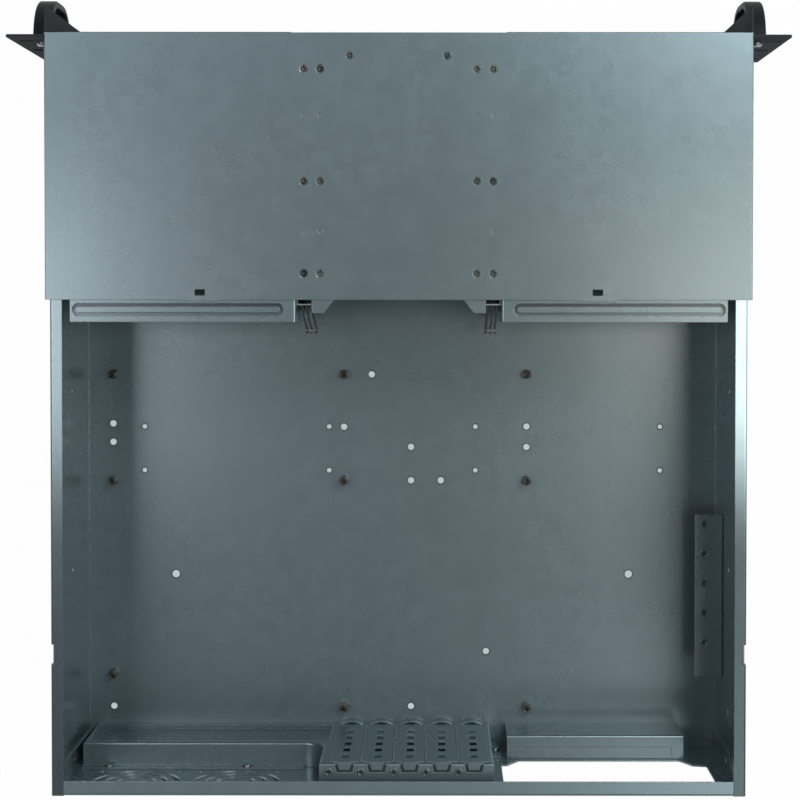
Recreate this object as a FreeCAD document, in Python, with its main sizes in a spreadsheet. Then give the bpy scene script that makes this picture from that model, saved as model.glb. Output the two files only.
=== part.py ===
import FreeCAD, Part
import math
import os
import re
import Sketcher
from FreeCAD import Vector

# Empty 3U rackmount server case with its rear lid off: folded galvanised sheet, black front panel,
# rack ears and strap handles. X runs across the case (+X is its right side seen from the front),
# Y runs from front to rear, Z is up. The origin is under the middle of the whole case.

doc = FreeCAD.newDocument("RackServerCase")
sheet = doc.addObject("Spreadsheet::Sheet", "Sizes")

sizes = {
    # case
    "rack_width": 482.6,          # across the rack ears
    "panel_height": 131.6,        # rack ears
    "body_width": 430.0,
    "body_depth": 470.0,          # front plane to rear face
    "body_height": 129.8,
    "steel": 1.2,                 # galvanised sheet
    "seam": 0.1,                  # clearance between sheets that lie together
    "bend": 1.6,                  # outer radius of the folds
    "top_flange": 7.5,            # turned in along the side walls
    "rear_flange": 9.0,           # turned in along the rear panel
    "side_flange": 12.0,          # rear panel, along the side walls
    # lid notches in the side walls
    "notch_rear": 94.1,           # its front edge to the rear face
    "notch_length": 12.3,
    "notch_depth": 2.6,
    "notch_drop": 8.0,
    # motherboard datum and holes
    "board_x": 197.2,             # hole column nearest the side wall
    "board_gap": 11.2,            # rearmost hole row to the recess wall
    "column_two": 157.48,
    "column_three": 281.94,
    "short_column": 203.2,        # narrow board's column
    "row_port": 22.86,
    "row_middle": 154.94,
    "row_small": 177.8,
    "row_front": 227.33,
    "standoff_height": 9.0,
    "standoff_flats": 5.2,
    "standoff_thread": 1.6,
    "spare_hole": 2.3,
    "spare_left": 18.9,
    "spare_near": 3.3,
    "spare_middle": 15.9,
    "spare_inner": 13.7,
    "spare_far": 14.0,
    "spare_lone_x": 57.3,
    "spare_lone_y": 37.9,
    "bracket_hole": 1.7,
    "tie_hole": 2.7,
    "bracket_hole_near": 49.9,
    "bracket_hole_far": 175.8,
    "bracket_hole_gap": 73.1,     # behind the bays
    "bracket_hole_pitch": 29.9,
    "tie_hole_x": 154.6,
    "tie_hole_rear": 119.6,
    # slide rail holes in the side walls
    "slide_hole": 2.1,
    "slide_hole_z": 62.5,
    "slide_hole_y": 222.5,
    "slide_hole_middle": 131.0,   # from the rear face
    "slide_hole_rear": 38.2,
    # recess for ports and slots
    "recess_depth": 17.6,         # rear face to the inner face of its wall
    "recess_left": 59.6,
    "recess_step": 50.0,
    "recess_screw_outer": 190.0,
    "recess_screw_inner": 100.0,
    "recess_screw_low": 17.3,
    "recess_screw_lift": 0.4,
    "recess_right": 207.6,
    "recess_flare": 12.0,
    "recess_lap": 6.0,
    "window_sill": 9.0,
    "slot_sill": 25.0,
    "shelf_z": 61.0,
    "ledge_z": 118.0,
    "rim": 7.0,
    "port_width": 158.75,
    "port_height": 44.4,
    "port_x": 46.9,
    "port_z": 9.6,
    "slot_x": 34.1,
    "slot_pitch": 20.32,
    "slot_count": 5,
    "slot_width": 13.2,
    "slot_low": 19.0,
    "slot_high": 110.0,
    "tongue_width": 14.4,
    "tongue_z": 9.8,
    "pocket_wall": 0.8,
    "pocket_bulge": 2.6,
    "cover_width": 18.4,
    "cover_steel": 0.8,
    "cover_low": 16.0,
    "cover_shoulder": 2.4,
    "cover_drop": 1.4,
    "cover_tongue": 4.0,
    "cover_tongue_width": 7.8,
    "cover_tab": 8.7,
    "tab_reach": 4.0,
    "notch_gap": 1.8,             # ledge notch beside the tab
    "notch_taper": 1.2,
    "notch_end": 1.6,
    "land_hole_x": 10.0,
    "land_hole_y": 5.5,
    "land_hole": 1.5,
    "vent_width": 4.7,
    "vent_height": 10.6,
    "vent_pitch": 17.1,
    "vent_low": 33.0,
    "vent_count": 5,
    "rib_width": 1.6,
    "rib_height": 1.1,
    "rib_reach": 3.0,
    "shield_depth": 3.0,
    "shield_steel": 0.6,
    "shield_boss": 2.1,
    "shield_boss_x": 49.9,
    "shield_boss_pitch": 8.4,
    "shield_boss_drop": 11.0,
    "shield_boss_lift": 0.8,
    # rear fans
    "fan_x": 167.5,
    "fan_pitch": 63.5,
    "fan_half": 30.0,
    "fan_gap": 0.1,
    "fan_ring": 28.0,
    "ring_slot": 3.6,
    "ring_pitch": 7.6,
    "ring_bar": 3.2,
    "fan_hole_pitch": 50.0,
    "fan_hole": 2.2,
    # power supply
    "psu_x": -133.5,
    "psu_width": 150.0,
    "psu_height": 86.0,
    "psu_seat": 38.0,             # height of its underside
    "psu_hole_inset": 6.0,
    "psu_hole": 1.8,
    "psu_hole_upper": 64.0,
    "psu_hole_top": 74.0,
    "psu_hole_offset": 24.0,
    "cutout_inset": 7.7,
    "cutout_low": 2.0,
    "cutout_step": 15.0,
    "cutout_corner": 12.2,
    "cutout_top": 8.0,
    "cutout_chamfer": 4.0,
    "cutout_notch": 9.0,
    "cutout_rise": 2.0,
    "psu_shelf_width": 117.6,
    "psu_shelf_x": -129.2,
    "psu_shelf_depth": 15.9,
    "psu_shelf_hem": 14.0,
    "shelf_slot_x": -122.5,
    "shelf_slot_length": 13.4,
    "shelf_slot_pitch": 17.8,
    "shelf_slot_height": 2.4,
    "shelf_slot_z": 25.8,
    "emboss_length": 100.0,
    "emboss_width": 8.0,
    "emboss_depth": 0.5,
    "emboss_x": -130.2,
    "rail_rear": 164.6,           # its front end to the rear face
    "rail_length": 108.2,
    "rail_width": 18.5,
    "rail_leg": 20.0,
    "rail_hole": 1.7,
    "rail_hole_pitch": 19.7,
    "rail_hole_first": 6.3,
    "rail_hole_inset": 12.3,
    "rail_rivet_inset": 21.6,
    # roof
    "roof_depth": 162.7,
    "roof_side": 12.0,
    "lip_width": 24.0,
    "lip_reach": 0.8,
    "lid_slot_x": 122.4,
    "lid_slot_y": 158.2,
    "lid_slot_length": 6.4,
    "lid_slot_width": 3.8,
    "lid_slot_room": 0.4,         # clearance in the sheet below
    "screw_row_inner": 48.2,
    "screw_row_outer": 58.3,
    "screw_y_front": 20.9,
    "screw_y_middle": 89.7,
    "screw_y_rear": 146.4,
    "mark_y_front": 49.4,
    "mark_y_rear": 120.7,
    "mark_radius": 1.7,
    "mark_depth": 0.35,
    "front_screw_x": 30.0,
    "front_screw_y": 12.7,
    "screw_radius": 1.5,
    "screw_length": 5.0,
    "cross_reach": 1.5,
    "cross_width": 0.7,
    # bays
    "bay_wall_x": 64.4,           # bay side of its wall
    "bay_top_edge": 202.6,
    "bay_depth": 176.4,
    "bay_foot": 10.0,
    "bay_start": 2.0,
    "bead_length": 130.3,
    "bead_width": 7.9,
    "bead_band": 3.4,
    "bead_depth": 2.0,
    "bead_press": 1.6,
    "bead_wall": 0.6,
    "bead_band_drop": 0.3,
    "bead_y": 168.8,
    "bead_end": 70.9,
    "drive_slot_length": 9.0,
    "drive_slot": 1.7,
    "drive_slot_front": 39.0,
    "drive_slot_back": 117.0,
    "bay_pitch": 41.3,
    "cage_half": 53.6,
    "cage_depth": 170.9,
    "cage_floor": 150.0,
    "cage_flange": 12.6,
    "cage_shoulder": 8.4,
    "cage_chamfer": 6.6,
    "hdd_pitch": 26.0,
    "hdd_slot_front": 45.0,
    "hdd_slot_back": 105.0,
    "channel_start": 6.0,
    "channel_depth": 149.0,
    "channel_leg": 16.0,
    # leaf springs between the cages
    "spring_y": 165.2,
    "spring_plate": 0.8,
    "spring_leg": 8.0,            # along the bay's wall
    "spring_low": 52.0,
    "spring_high": 125.0,
    "leaf_top": 110.0,
    "leaf_drop": 54.0,
    "leaf_reach": 15.6,
    "leaf_bow": 0.9,
    "leaf_width": 1.7,
    "leaf_thick": 0.5,
    "leaf_pitch": 2.9,
    "leaf_curl": 1.9,
    # front
    "panel_steel": 1.2,
    "panel_reach": 17.2,          # forward flanges
    "lip_gap": 71.0,              # half the gap between the bottom lips
    "lip_bevel": 3.0,
    "panel_top_flange": 37.0,
    "panel_top_depth": 18.0,
    "bay_opening": 146.6,
    "bay_opening_x": 139.0,
    "bay_opening_height": 124.2,
    "bay_opening_z": 2.9,
    "drive_opening": 102.0,
    "drive_opening_height": 25.6,
    "drive_opening_drop": 4.6,    # under the top of the case
    "front_vent_length": 70.0,
    "front_vent_height": 3.0,
    "front_vent_pitch": 6.5,
    "front_vent_z": 13.0,
    "front_vent_count": 6,
    "flange_hole": 1.6,
    "flange_hole_drop": 12.8,
    "flange_hole_pitch": 27.4,
    "flange_hole_reach": 7.6,
    "ear_steel": 1.5,
    "ear_leg": 26.0,
    "ear_corner": 2.5,
    "rack_slot_x": 232.55,
    "rack_slot_length": 10.3,
    "rack_slot_height": 6.8,
    "rack_slot_pitch": 44.45,
    "ear_screw_pitch": 45.0,
    "handle_x": 223.8,
    "handle_z": 72.0,
    "handle_span": 68.0,
    "handle_reach": 27.5,
    "handle_width": 11.6,
    "handle_thick": 5.2,
    "handle_corner": 26.0,
    "handle_edge": 1.7,
    "handle_screw": 2.0,
    "handle_screw_depth": 4.0,
    "pan_head": 3.6,
    "pan_height": 2.4,
    "blank_gap": 0.3,
    "blank_depth": 6.0,
    "blank_wall": 2.2,
    "blank_proud": 1.0,
    "blank_edge": 1.2,
    # push buttons and lamps
    "button_z": 76.0,
    "power_x": 22.0,
    "reset_x": -6.0,
    "power_radius": 6.0,
    "reset_radius": 3.0,
    "button_gap": 0.25,
    "button_proud": 1.4,
    "button_cap": 3.4,
    "button_travel": 1.8,
    "stem_radius": 2.0,
    "stem_length": 11.0,
    "stem_gap": 0.05,
    "switch_width": 15.0,
    "switch_depth": 13.0,
    "lamp_x": -20.0,
    "lamp_pitch": 9.0,
    "lamp_radius": 1.5,
    "lamp_length": 6.0,
    "lamp_dome": 0.8,
    # rivets
    "rivet_radius": 1.6,
    "rivet_head": 2.9,
    "rivet_dome": 0.8,
    "rivet_rear": 6.7,
    "rivet_low": 10.0,
    "rivet_pitch": 52.0,
}

# places worked out from the sizes above
places = {
    "screw_head": "screw_radius + steel",
    "front": "(handle_reach - body_depth) / 2",
    "half_body": "body_width / 2",
    "recess_y": "body_depth - recess_depth",
    "board_y": "body_depth - recess_depth - board_gap",
    "notch_y": "body_depth - notch_rear",
    "bracket_hole_y": "bay_depth + bracket_hole_gap",
    "tie_hole_y": "body_depth - tie_hole_rear",
    "rail_y": "body_depth - rail_rear",
    "rivet_y": "body_depth - rivet_rear",
    "fan_z": "body_height - steel - fan_half - fan_gap",
    "drive_opening_z": "body_height - drive_opening_drop - drive_opening_height",
    "flange_hole_top": "body_height - flange_hole_drop",
    "wall_x": "body_width / 2 - steel",
    "ear_x": "body_width / 2 + ear_steel",
    "roof_half": "body_width / 2 + ear_steel + steel",
    "rear_in": "body_depth - steel",
    "recess_rear": "body_depth - steel - seam",
    "sheet_top": "body_height - seam",
    "floor_top": "steel + seam",
    "psu_left": "psu_x - psu_width / 2",
    "psu_right": "psu_x + psu_width / 2",
    "shelf_front": "body_depth - steel - seam - psu_shelf_depth",
    "panel_half": "body_width / 2 + ear_steel + steel + seam",
    "blank_pitch": "bay_opening_height / 3",
}

for row, (alias, number) in enumerate(sizes.items(), 1):
    sheet.set("A%d" % row, alias)
    sheet.set("B%d" % row, str(number))
    sheet.setAlias("B%d" % row, alias)
doc.recompute()


def formula(text):
    """Writes the names of sizes and places in a formula as references to the sheet."""
    def reference(word):
        name = word.group()
        if name in places:
            return "(" + formula(places[name]) + ")"
        return "Sizes." + name if name in sizes else name
    return re.sub(r"[A-Za-z_]\w*", reference, str(text))


def value(text):
    return float(sheet.evalExpression(formula(text).replace("Sizes.", "")))


def bind(thing, prop, text):
    thing.setExpression(prop, formula(text))


# ---------------------------------------------------------------- sketches and features
plane_roles = {"XY": "XY_Plane", "XZ": "XZ_Plane", "YZ": "YZ_Plane"}
pieces = []


def body(label):
    """A sub-part, placed with the front plane of the case at its own Y = 0."""
    made = doc.addObject("PartDesign::Body", label)
    made.Label = label
    bind(made, "Placement.Base.y", "front")
    pieces.append(made)
    return made


def sketch(part, plane, at):
    made = part.newObject("Sketcher::SketchObject", "Sketch")
    origin = [item for item in part.Origin.OriginFeatures if item.Role == plane_roles[plane]]
    made.AttachmentSupport = (origin[0], [""])
    made.MapMode = "FlatFace"
    bind(made, "AttachmentOffset.Base.z", "-(%s)" % at if plane == "XZ" else at)
    return made


def pin(drawn, kind, geometry, point, text):
    """Holds one coordinate of a point to a formula."""
    index = drawn.addConstraint(Sketcher.Constraint(kind, -1, 1, geometry, point, value(text)))
    bind(drawn, "Constraints[%d]" % index, text)


def polygon(drawn, corners):
    points = [Vector(value(x), value(y), 0) for x, y in corners]
    lines = []
    for start, end in zip(points, points[1:] + points[:1]):
        lines.append(drawn.addGeometry(Part.LineSegment(start, end), False))
    for line, following in zip(lines, lines[1:] + lines[:1]):
        drawn.addConstraint(Sketcher.Constraint("Coincident", line, 2, following, 1))
    for line, (x, y) in zip(lines, corners):
        pin(drawn, "DistanceX", line, 1, x)
        pin(drawn, "DistanceY", line, 1, y)


def circle(drawn, x, y, radius):
    centre = Vector(value(x), value(y), 0)
    ring = drawn.addGeometry(Part.Circle(centre, Vector(0, 0, 1), value(radius)), False)
    pin(drawn, "DistanceX", ring, 3, x)
    pin(drawn, "DistanceY", ring, 3, y)
    index = drawn.addConstraint(Sketcher.Constraint("Radius", ring, value(radius)))
    bind(drawn, "Constraints[%d]" % index, radius)


def obround(drawn, x, y, length, height, upright=False):
    """A slot with round ends, centred on x, y."""
    radius, reach = value(height) / 2, (value(length) - value(height)) / 2
    centre = Vector(value(x), value(y), 0)
    along = Vector(0, 1, 0) if upright else Vector(1, 0, 0)
    across = Vector(-along.y, along.x, 0)
    turn = math.pi / 2 if upright else 0
    up = Vector(0, 0, 1)
    first = Part.ArcOfCircle(Part.Circle(centre + along * reach, up, radius),
                             turn - math.pi / 2, turn + math.pi / 2)
    last = Part.ArcOfCircle(Part.Circle(centre - along * reach, up, radius),
                            turn + math.pi / 2, turn + 3 * math.pi / 2)
    side = Part.LineSegment(centre + along * reach + across * radius,
                            centre - along * reach + across * radius)
    other = Part.LineSegment(centre - along * reach - across * radius,
                             centre + along * reach - across * radius)
    arc, line, arc_two, line_two = [drawn.addGeometry(item, False)
                                    for item in (first, side, last, other)]
    for one, two in ((arc, line), (line, arc_two), (arc_two, line_two), (line_two, arc)):
        drawn.addConstraint(Sketcher.Constraint("Tangent", one, 2, two, 1))
    index = drawn.addConstraint(Sketcher.Constraint("Radius", arc, radius))
    bind(drawn, "Constraints[%d]" % index, "(%s) / 2" % height)
    drawn.addConstraint(Sketcher.Constraint("Equal", arc, arc_two))
    offset = "((%s) - (%s)) / 2" % (length, height)
    for item, sign in ((arc, "+"), (arc_two, "-")):
        moved = ["%s %s %s" % (x, sign, offset), y] if not upright else [x, "%s %s %s" % (y, sign, offset)]
        pin(drawn, "DistanceX", item, 3, moved[0])
        if item == arc or upright:
            pin(drawn, "DistanceY", item, 3, moved[1])
    if not upright:
        drawn.addConstraint(Sketcher.Constraint("Horizontal", arc, 3, arc_two, 3))


def bulge(drawn, x, y, half, reach):
    """A segment of a circle that bows to the front from a chord along x."""
    width, height, middle, base = value(half), value(reach), value(x), value(y)
    radius = (width ** 2 + height ** 2) / (2 * height)
    angle = math.asin(width / radius)
    heart = Vector(middle, base - height + radius, 0)
    bow = drawn.addGeometry(Part.ArcOfCircle(Part.Circle(heart, Vector(0, 0, 1), radius),
                                             1.5 * math.pi - angle, 1.5 * math.pi + angle), False)
    chord = drawn.addGeometry(Part.LineSegment(Vector(middle + width, base, 0),
                                               Vector(middle - width, base, 0)), False)
    drawn.addConstraint(Sketcher.Constraint("Coincident", bow, 2, chord, 1))
    drawn.addConstraint(Sketcher.Constraint("Coincident", chord, 2, bow, 1))
    pin(drawn, "DistanceX", bow, 1, "%s - (%s)" % (x, half))
    pin(drawn, "DistanceY", bow, 1, y)
    pin(drawn, "DistanceX", bow, 2, "%s + (%s)" % (x, half))
    drawn.addConstraint(Sketcher.Constraint("Horizontal", chord))
    index = drawn.addConstraint(Sketcher.Constraint("Radius", bow, radius))
    squares = "(%s) * (%s) + (%s) * (%s)" % (half, half, reach, reach)
    bind(drawn, "Constraints[%d]" % index, "(%s) / (2 * (%s))" % (squares, reach))


def rectangle(x0, y0, x1, y1):
    return [(x0, y0), (x1, y0), (x1, y1), (x0, y1)]


def draw(drawn, shapes):
    for shape in shapes:
        if shape[0] == "circle":
            circle(drawn, *shape[1:])
        elif shape[0] == "obround":
            obround(drawn, *shape[1:])
        else:
            polygon(drawn, shape)


def pad(part, plane, at, thickness, *shapes):
    """Adds material from the plane at 'at', towards the positive axis."""
    drawn = sketch(part, plane, at)
    draw(drawn, shapes)
    made = part.newObject("PartDesign::Pad", "Pad")
    made.Profile = drawn
    made.Reversed = plane == "XZ"
    bind(made, "Length", thickness)
    return made


def cut(part, plane, at, depth, *shapes):
    """Takes material away from the plane at 'at', towards the positive axis."""
    doc.recompute()
    before = part.Shape.Volume
    drawn = sketch(part, plane, at)
    draw(drawn, shapes)
    made = part.newObject("PartDesign::Pocket", "Pocket")
    made.Profile = drawn
    made.Reversed = plane != "XZ"
    bind(made, "Length", depth)
    doc.recompute()
    if not part.Shape.Volume < before:
        raise ValueError("%s: a pocket takes nothing away" % part.Label)
    return made


def round_edges(part, radius, chosen):
    """Rounds the edges of the last feature that 'chosen' picks by their bounding box."""
    doc.recompute()
    tip = part.Tip
    names = ["Edge%d" % number for number, edge in enumerate(tip.Shape.Edges, 1)
             if chosen(edge.BoundBox)]
    if not names:
        raise ValueError("%s: no edge to round" % part.Label)
    made = part.newObject("PartDesign::Fillet", "Fillet")
    made.Base = (tip, names)
    bind(made, "Radius", radius)
    doc.recompute()
    return made


def near(measure, text):
    return abs(measure - value(text)) < 0.02


def long_edge(box, x, z):
    """An edge that runs along Y at a given x and z."""
    return box.XLength < 0.01 and box.ZLength < 0.01 and near(box.XMin, x) and near(box.ZMin, z)


def feature(label, shape):
    """A group of like pieces, or a form made with Part's own functions."""
    made = doc.addObject("Part::Feature", label)
    made.Label = label
    made.Shape = shape
    bind(made, "Placement.Base.y", "front")
    pieces.append(made)
    return made


# ---------------------------------------------------------------- chassis tray and rear panel
def rail_rivet_places():
    return ["rail_y + rail_rivet_inset", "rail_y + rail_length - rail_rivet_inset"]


def chassis_tray():
    part = body("chassis_tray")
    section = [("-half_body", "0"), ("half_body", "0"), ("half_body", "body_height"),
               ("half_body - top_flange", "body_height"), ("half_body - top_flange", "body_height - steel"),
               ("wall_x", "body_height - steel"), ("wall_x", "steel"), ("-wall_x", "steel"),
               ("-wall_x", "body_height - steel"), ("-half_body + top_flange", "body_height - steel"),
               ("-half_body + top_flange", "body_height"), ("-half_body", "body_height")]
    pad(part, "XZ", "0", "body_depth", section)
    folds = [(side + "half_body", level) for side in ("", "-") for level in ("0", "body_height")]
    round_edges(part, "bend", lambda box: any(long_edge(box, x, z) for x, z in folds))
    columns = {"outer": "board_x", "inner": "board_x - column_two",
               "far": "board_x - column_three", "narrow": "board_x - short_column"}
    rows = {"rear": "board_y", "port": "board_y - row_port", "middle": "board_y - row_middle",
            "small": "board_y - row_small", "front": "board_y - row_front"}
    spare = [(columns["outer"], rows["rear"]), (columns["narrow"], rows["rear"]),
             (columns["narrow"], rows["middle"]), (columns["narrow"], rows["small"]),
             (columns["narrow"] + " - slot_pitch", rows["middle"]),
             (columns["inner"] + " - spare_left", rows["front"]),
             (columns["outer"], rows["small"] + " - spare_near"),
             (columns["outer"], rows["small"] + " - spare_middle"),
             (columns["inner"], rows["small"] + " - spare_inner"), (columns["far"], rows["small"]),
             (columns["far"], rows["small"] + " - spare_far"), ("-spare_lone_x", "board_y - spare_lone_y")]
    holes = [("circle", x, y, "spare_hole") for x, y in spare]
    for side in ("", "-"):
        for reach in ("bracket_hole_near", "bracket_hole_far"):
            for step in ("bracket_hole_y", "bracket_hole_y + bracket_hole_pitch"):
                holes.append(("circle", side + reach, step, "bracket_hole"))
        holes.append(("circle", side + "tie_hole_x", "tie_hole_y", "tie_hole"))
    cut(part, "XY", "0", "steel", *holes)
    for side in ("half_body - notch_depth", "-half_body"):
        notch = rectangle("notch_y", "body_height - notch_drop", "notch_y + notch_length", "body_height")
        cut(part, "YZ", side, "notch_depth", notch)
    slide_places = ("slide_hole_y", "body_depth - slide_hole_middle", "body_depth - slide_hole_rear")
    slide_holes = [("circle", place, "slide_hole_z", "slide_hole") for place in slide_places]
    rivet_holes = [("circle", "rivet_y", "rivet_low + %d * rivet_pitch" % step, "rivet_radius")
                   for step in range(3)]
    screw_holes = [("circle", "ear_leg / 2 + ear_steel", "panel_height / 2 + %d * ear_screw_pitch" % step,
                    "screw_radius") for step in (-1, 0, 1)]
    rail_holes = [("circle", place, "psu_seat - rail_leg / 2", "rivet_radius")
                  for place in rail_rivet_places()]
    cut(part, "YZ", "wall_x", "steel", *(slide_holes + rivet_holes + screw_holes))
    cut(part, "YZ", "-half_body", "steel", *(slide_holes + rivet_holes + screw_holes + rail_holes))
    return part


def fan_centres():
    return ["fan_x", "fan_x - fan_pitch"]


def rear_panel():
    part = body("rear_panel")
    edge, cap = "wall_x - seam", "half_body - top_flange - seam"
    outline = [("-(%s)" % edge, "floor_top"), (edge, "floor_top"), (edge, "body_height - steel - seam"),
               (cap, "body_height - steel - seam"), (cap, "body_height"), ("-(%s)" % cap, "body_height"),
               ("-(%s)" % cap, "body_height - steel - seam"), ("-(%s)" % edge, "body_height - steel - seam")]
    pad(part, "XZ", "rear_in", "steel", outline)
    flange = rectangle("-(%s)" % cap, "body_depth - rear_flange", cap, "body_depth")
    pad(part, "XY", "body_height - steel", "steel", flange)
    for x in ("-(%s)" % edge, edge + " - steel"):
        side = rectangle("body_depth - side_flange - steel", "floor_top + steel",
                         "body_depth", "body_height - steel - 2 * seam - steel")
        pad(part, "YZ", x, "steel", side)
    turn = [("recess_step + recess_flare - (recess_flare + steel / 2) * %.4f" % math.sin(angle),
             "shelf_z + recess_flare - (recess_flare + steel / 2) * %.4f" % math.cos(angle))
            for angle in [math.pi * eighth / 8 for eighth in range(5)]]
    window = [("-recess_left + seam", "slot_sill"), ("recess_step - recess_lap", "slot_sill"),
              ("recess_step - recess_lap", "window_sill"), ("recess_right - seam", "window_sill"),
              ("recess_right - seam", "shelf_z - steel / 2")] + turn
    window += [("recess_step - steel / 2", "ledge_z - steel"), ("-recess_left + seam", "ledge_z - steel")]
    cut(part, "XZ", "rear_in", "steel", window)
    low, wide = "psu_seat + cutout_low", "psu_seat + cutout_step"
    left, right = "psu_left + cutout_inset", "psu_right - cutout_inset"
    top = "psu_seat + psu_height - cutout_top"
    cutout = [(left + " + cutout_corner + cutout_chamfer", low), (right + " - cutout_corner", low),
              (right + " - cutout_chamfer", wide), (right, wide), (right, top), (left, top),
              (left, wide + " + cutout_rise"), (left + " + cutout_notch", wide)]
    cut(part, "XZ", "rear_in", "steel", cutout)
    screws = [("circle", "psu_left + psu_hole_inset", "psu_seat + psu_hole_inset", "psu_hole"),
              ("circle", "psu_right - psu_hole_inset", "psu_seat + psu_hole_inset", "psu_hole"),
              ("circle", "psu_right - psu_hole_inset", "psu_seat + psu_hole_inset + psu_hole_upper",
               "psu_hole"),
              ("circle", "psu_left + psu_hole_inset + psu_hole_offset",
               "psu_seat + psu_hole_inset + psu_hole_top", "psu_hole")]
    fixing = [("circle", x, z, "screw_radius") for x, z in recess_screw_places()]
    cut(part, "XZ", "rear_in", "steel", *(screws + fixing))
    rivet_holes = [("circle", "rivet_y", "rivet_low + %d * rivet_pitch" % step, "rivet_radius")
                   for step in range(3)]
    cut(part, "YZ", edge + " - steel", "steel", *rivet_holes)
    cut(part, "YZ", "-(%s)" % edge, "steel", *rivet_holes)
    for x in fan_centres():
        for ring in range(3):
            outer = "fan_ring - %d * ring_pitch" % ring
            cut(part, "XZ", "rear_in", "steel", ("circle", x, "fan_z", outer),
                ("circle", x, "fan_z", outer + " - ring_slot"))
        reach = "fan_ring + 0.4"
        bars = [rectangle("%s - ring_bar / 2" % x, "fan_z - (%s)" % reach, "%s + ring_bar / 2" % x,
                          "fan_z + (%s)" % reach),
                rectangle("%s - (%s)" % (x, reach), "fan_z - ring_bar / 2", "%s + (%s)" % (x, reach),
                          "fan_z + ring_bar / 2")]
        for bar in bars:
            pad(part, "XZ", "rear_in", "steel", bar)
        corners = [("circle", "%s %s fan_hole_pitch / 2" % (x, one), "fan_z %s fan_hole_pitch / 2" % two,
                    "fan_hole") for one in "+-" for two in "+-"]
        cut(part, "XZ", "rear_in", "steel", *corners)
    round_edges(part, "bend", lambda box: box.YLength < 0.01 and box.ZLength < 0.01
                and near(box.ZMin, "body_height") and near(box.YMin, "body_depth"))
    return part


# ---------------------------------------------------------------- recess with ports and slots
def slot_columns():
    return ["slot_x - %d * slot_pitch" % number for number in range(sizes["slot_count"])]


def recess_screw_places():
    height = "shelf_z + rim / 2 + recess_screw_lift"
    return [("recess_screw_outer", height), ("recess_screw_inner", height),
            ("-recess_left - rim / 2 - recess_screw_lift", "recess_screw_low")]


def recess_panel():
    part = body("recess_panel")
    lowest, wall, rear = "floor_top", "recess_y", "recess_rear"
    slots = rectangle("-recess_left", wall, "recess_step", rear)
    ports = rectangle("recess_step - recess_lap", wall, "recess_right", rear)
    pad(part, "XY", lowest, "ledge_z - floor_top", slots)
    pad(part, "XY", lowest, "shelf_z - floor_top", ports)
    round_edges(part, "recess_flare", lambda box: long_edge(box, "recess_step", "shelf_z"))
    round_edges(part, "bend", lambda box: (near(box.YMax, wall) and box.YLength < 0.01)
                and not near(box.ZMax, lowest))
    hollow = rectangle("-recess_left + steel", wall + " + steel", "recess_step - steel", rear)
    lap = "recess_step - recess_lap - steel"
    port_hollow = rectangle(lap, wall + " + steel", "recess_right - steel", rear)
    cut(part, "XY", lowest + " + steel", "ledge_z - floor_top - 2 * steel", hollow)
    cut(part, "XY", lowest + " + steel", "shelf_z - floor_top - 2 * steel", port_hollow)
    round_edges(part, "recess_flare + steel",
                lambda box: long_edge(box, "recess_step - steel", "shelf_z - steel"))
    rim_top = rectangle("recess_step + recess_flare + steel", "shelf_z - steel / 2", "recess_right",
                        "shelf_z + rim")
    rim_side = rectangle("-recess_left - rim", lowest, "-recess_left + steel / 2", "psu_seat - 2 * steel")
    pad(part, "XZ", rear + " - steel", "steel", rim_top)
    pad(part, "XZ", rear + " - steel", "steel", rim_side)
    fixing = [("circle", x, z, "screw_radius") for x, z in recess_screw_places()]
    cut(part, "XZ", rear + " - steel", "steel", *fixing)
    opening = rectangle("port_x", "port_z", "port_x + port_width", "port_z + port_height")
    cut(part, "XZ", wall, "steel", opening)
    columns = slot_columns()
    openings = [rectangle("%s - slot_width / 2" % x, "slot_low", "%s + slot_width / 2" % x, "slot_high")
                for x in columns]
    cut(part, "XZ", wall, "steel", *openings)
    notches = []
    for x in columns:
        half = "cover_tab / 2 + notch_gap"
        notches.append([("%s - (%s)" % (x, half), wall), ("%s + (%s)" % (x, half), wall),
                        ("%s + (%s) - notch_taper" % (x, half), wall + " + tab_reach + notch_end"),
                        ("%s - (%s) + notch_taper" % (x, half), wall + " + tab_reach + notch_end")])
    cut(part, "XY", "ledge_z - steel", "steel", *notches)
    holes = [("circle", "%s + land_hole_x" % x, wall + " + land_hole_y", "land_hole") for x in columns]
    cut(part, "XY", "ledge_z - steel", "steel", *holes)
    ribs = [rectangle("%s - slot_pitch / 2 - rib_width / 2" % x, "slot_low - rib_reach",
                      "%s - slot_pitch / 2 + rib_width / 2" % x, "slot_high + rib_reach")
            for x in columns[:-1]]
    for rib in ribs:
        pad(part, "XZ", wall + " - rib_height", "rib_height + steel / 2", rib)
    round_edges(part, "rib_width * 0.4", lambda box: box.XLength < 0.01 and box.YLength < 0.01
                and near(box.YMin, wall + " - rib_height"))
    for x in columns:
        pocket = sketch(part, "XY", lowest + " + steel")
        bulge(pocket, x, wall + " + steel / 2", "tongue_width / 2 + pocket_wall", "pocket_bulge + steel / 2")
        made = part.newObject("PartDesign::Pad", "TonguePocket")
        made.Profile = pocket
        bind(made, "Length", "tongue_z - floor_top - steel")
        doc.recompute()
        hollow = sketch(part, "XY", lowest + " + steel + pocket_wall")
        bulge(hollow, x, wall + " + steel", "tongue_width / 2", "pocket_bulge + steel - pocket_wall")
        made = part.newObject("PartDesign::Pocket", "TongueHollow")
        made.Profile = hollow
        made.Reversed = True
        bind(made, "Length", "tongue_z - floor_top")
        doc.recompute()
    return part


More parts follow.
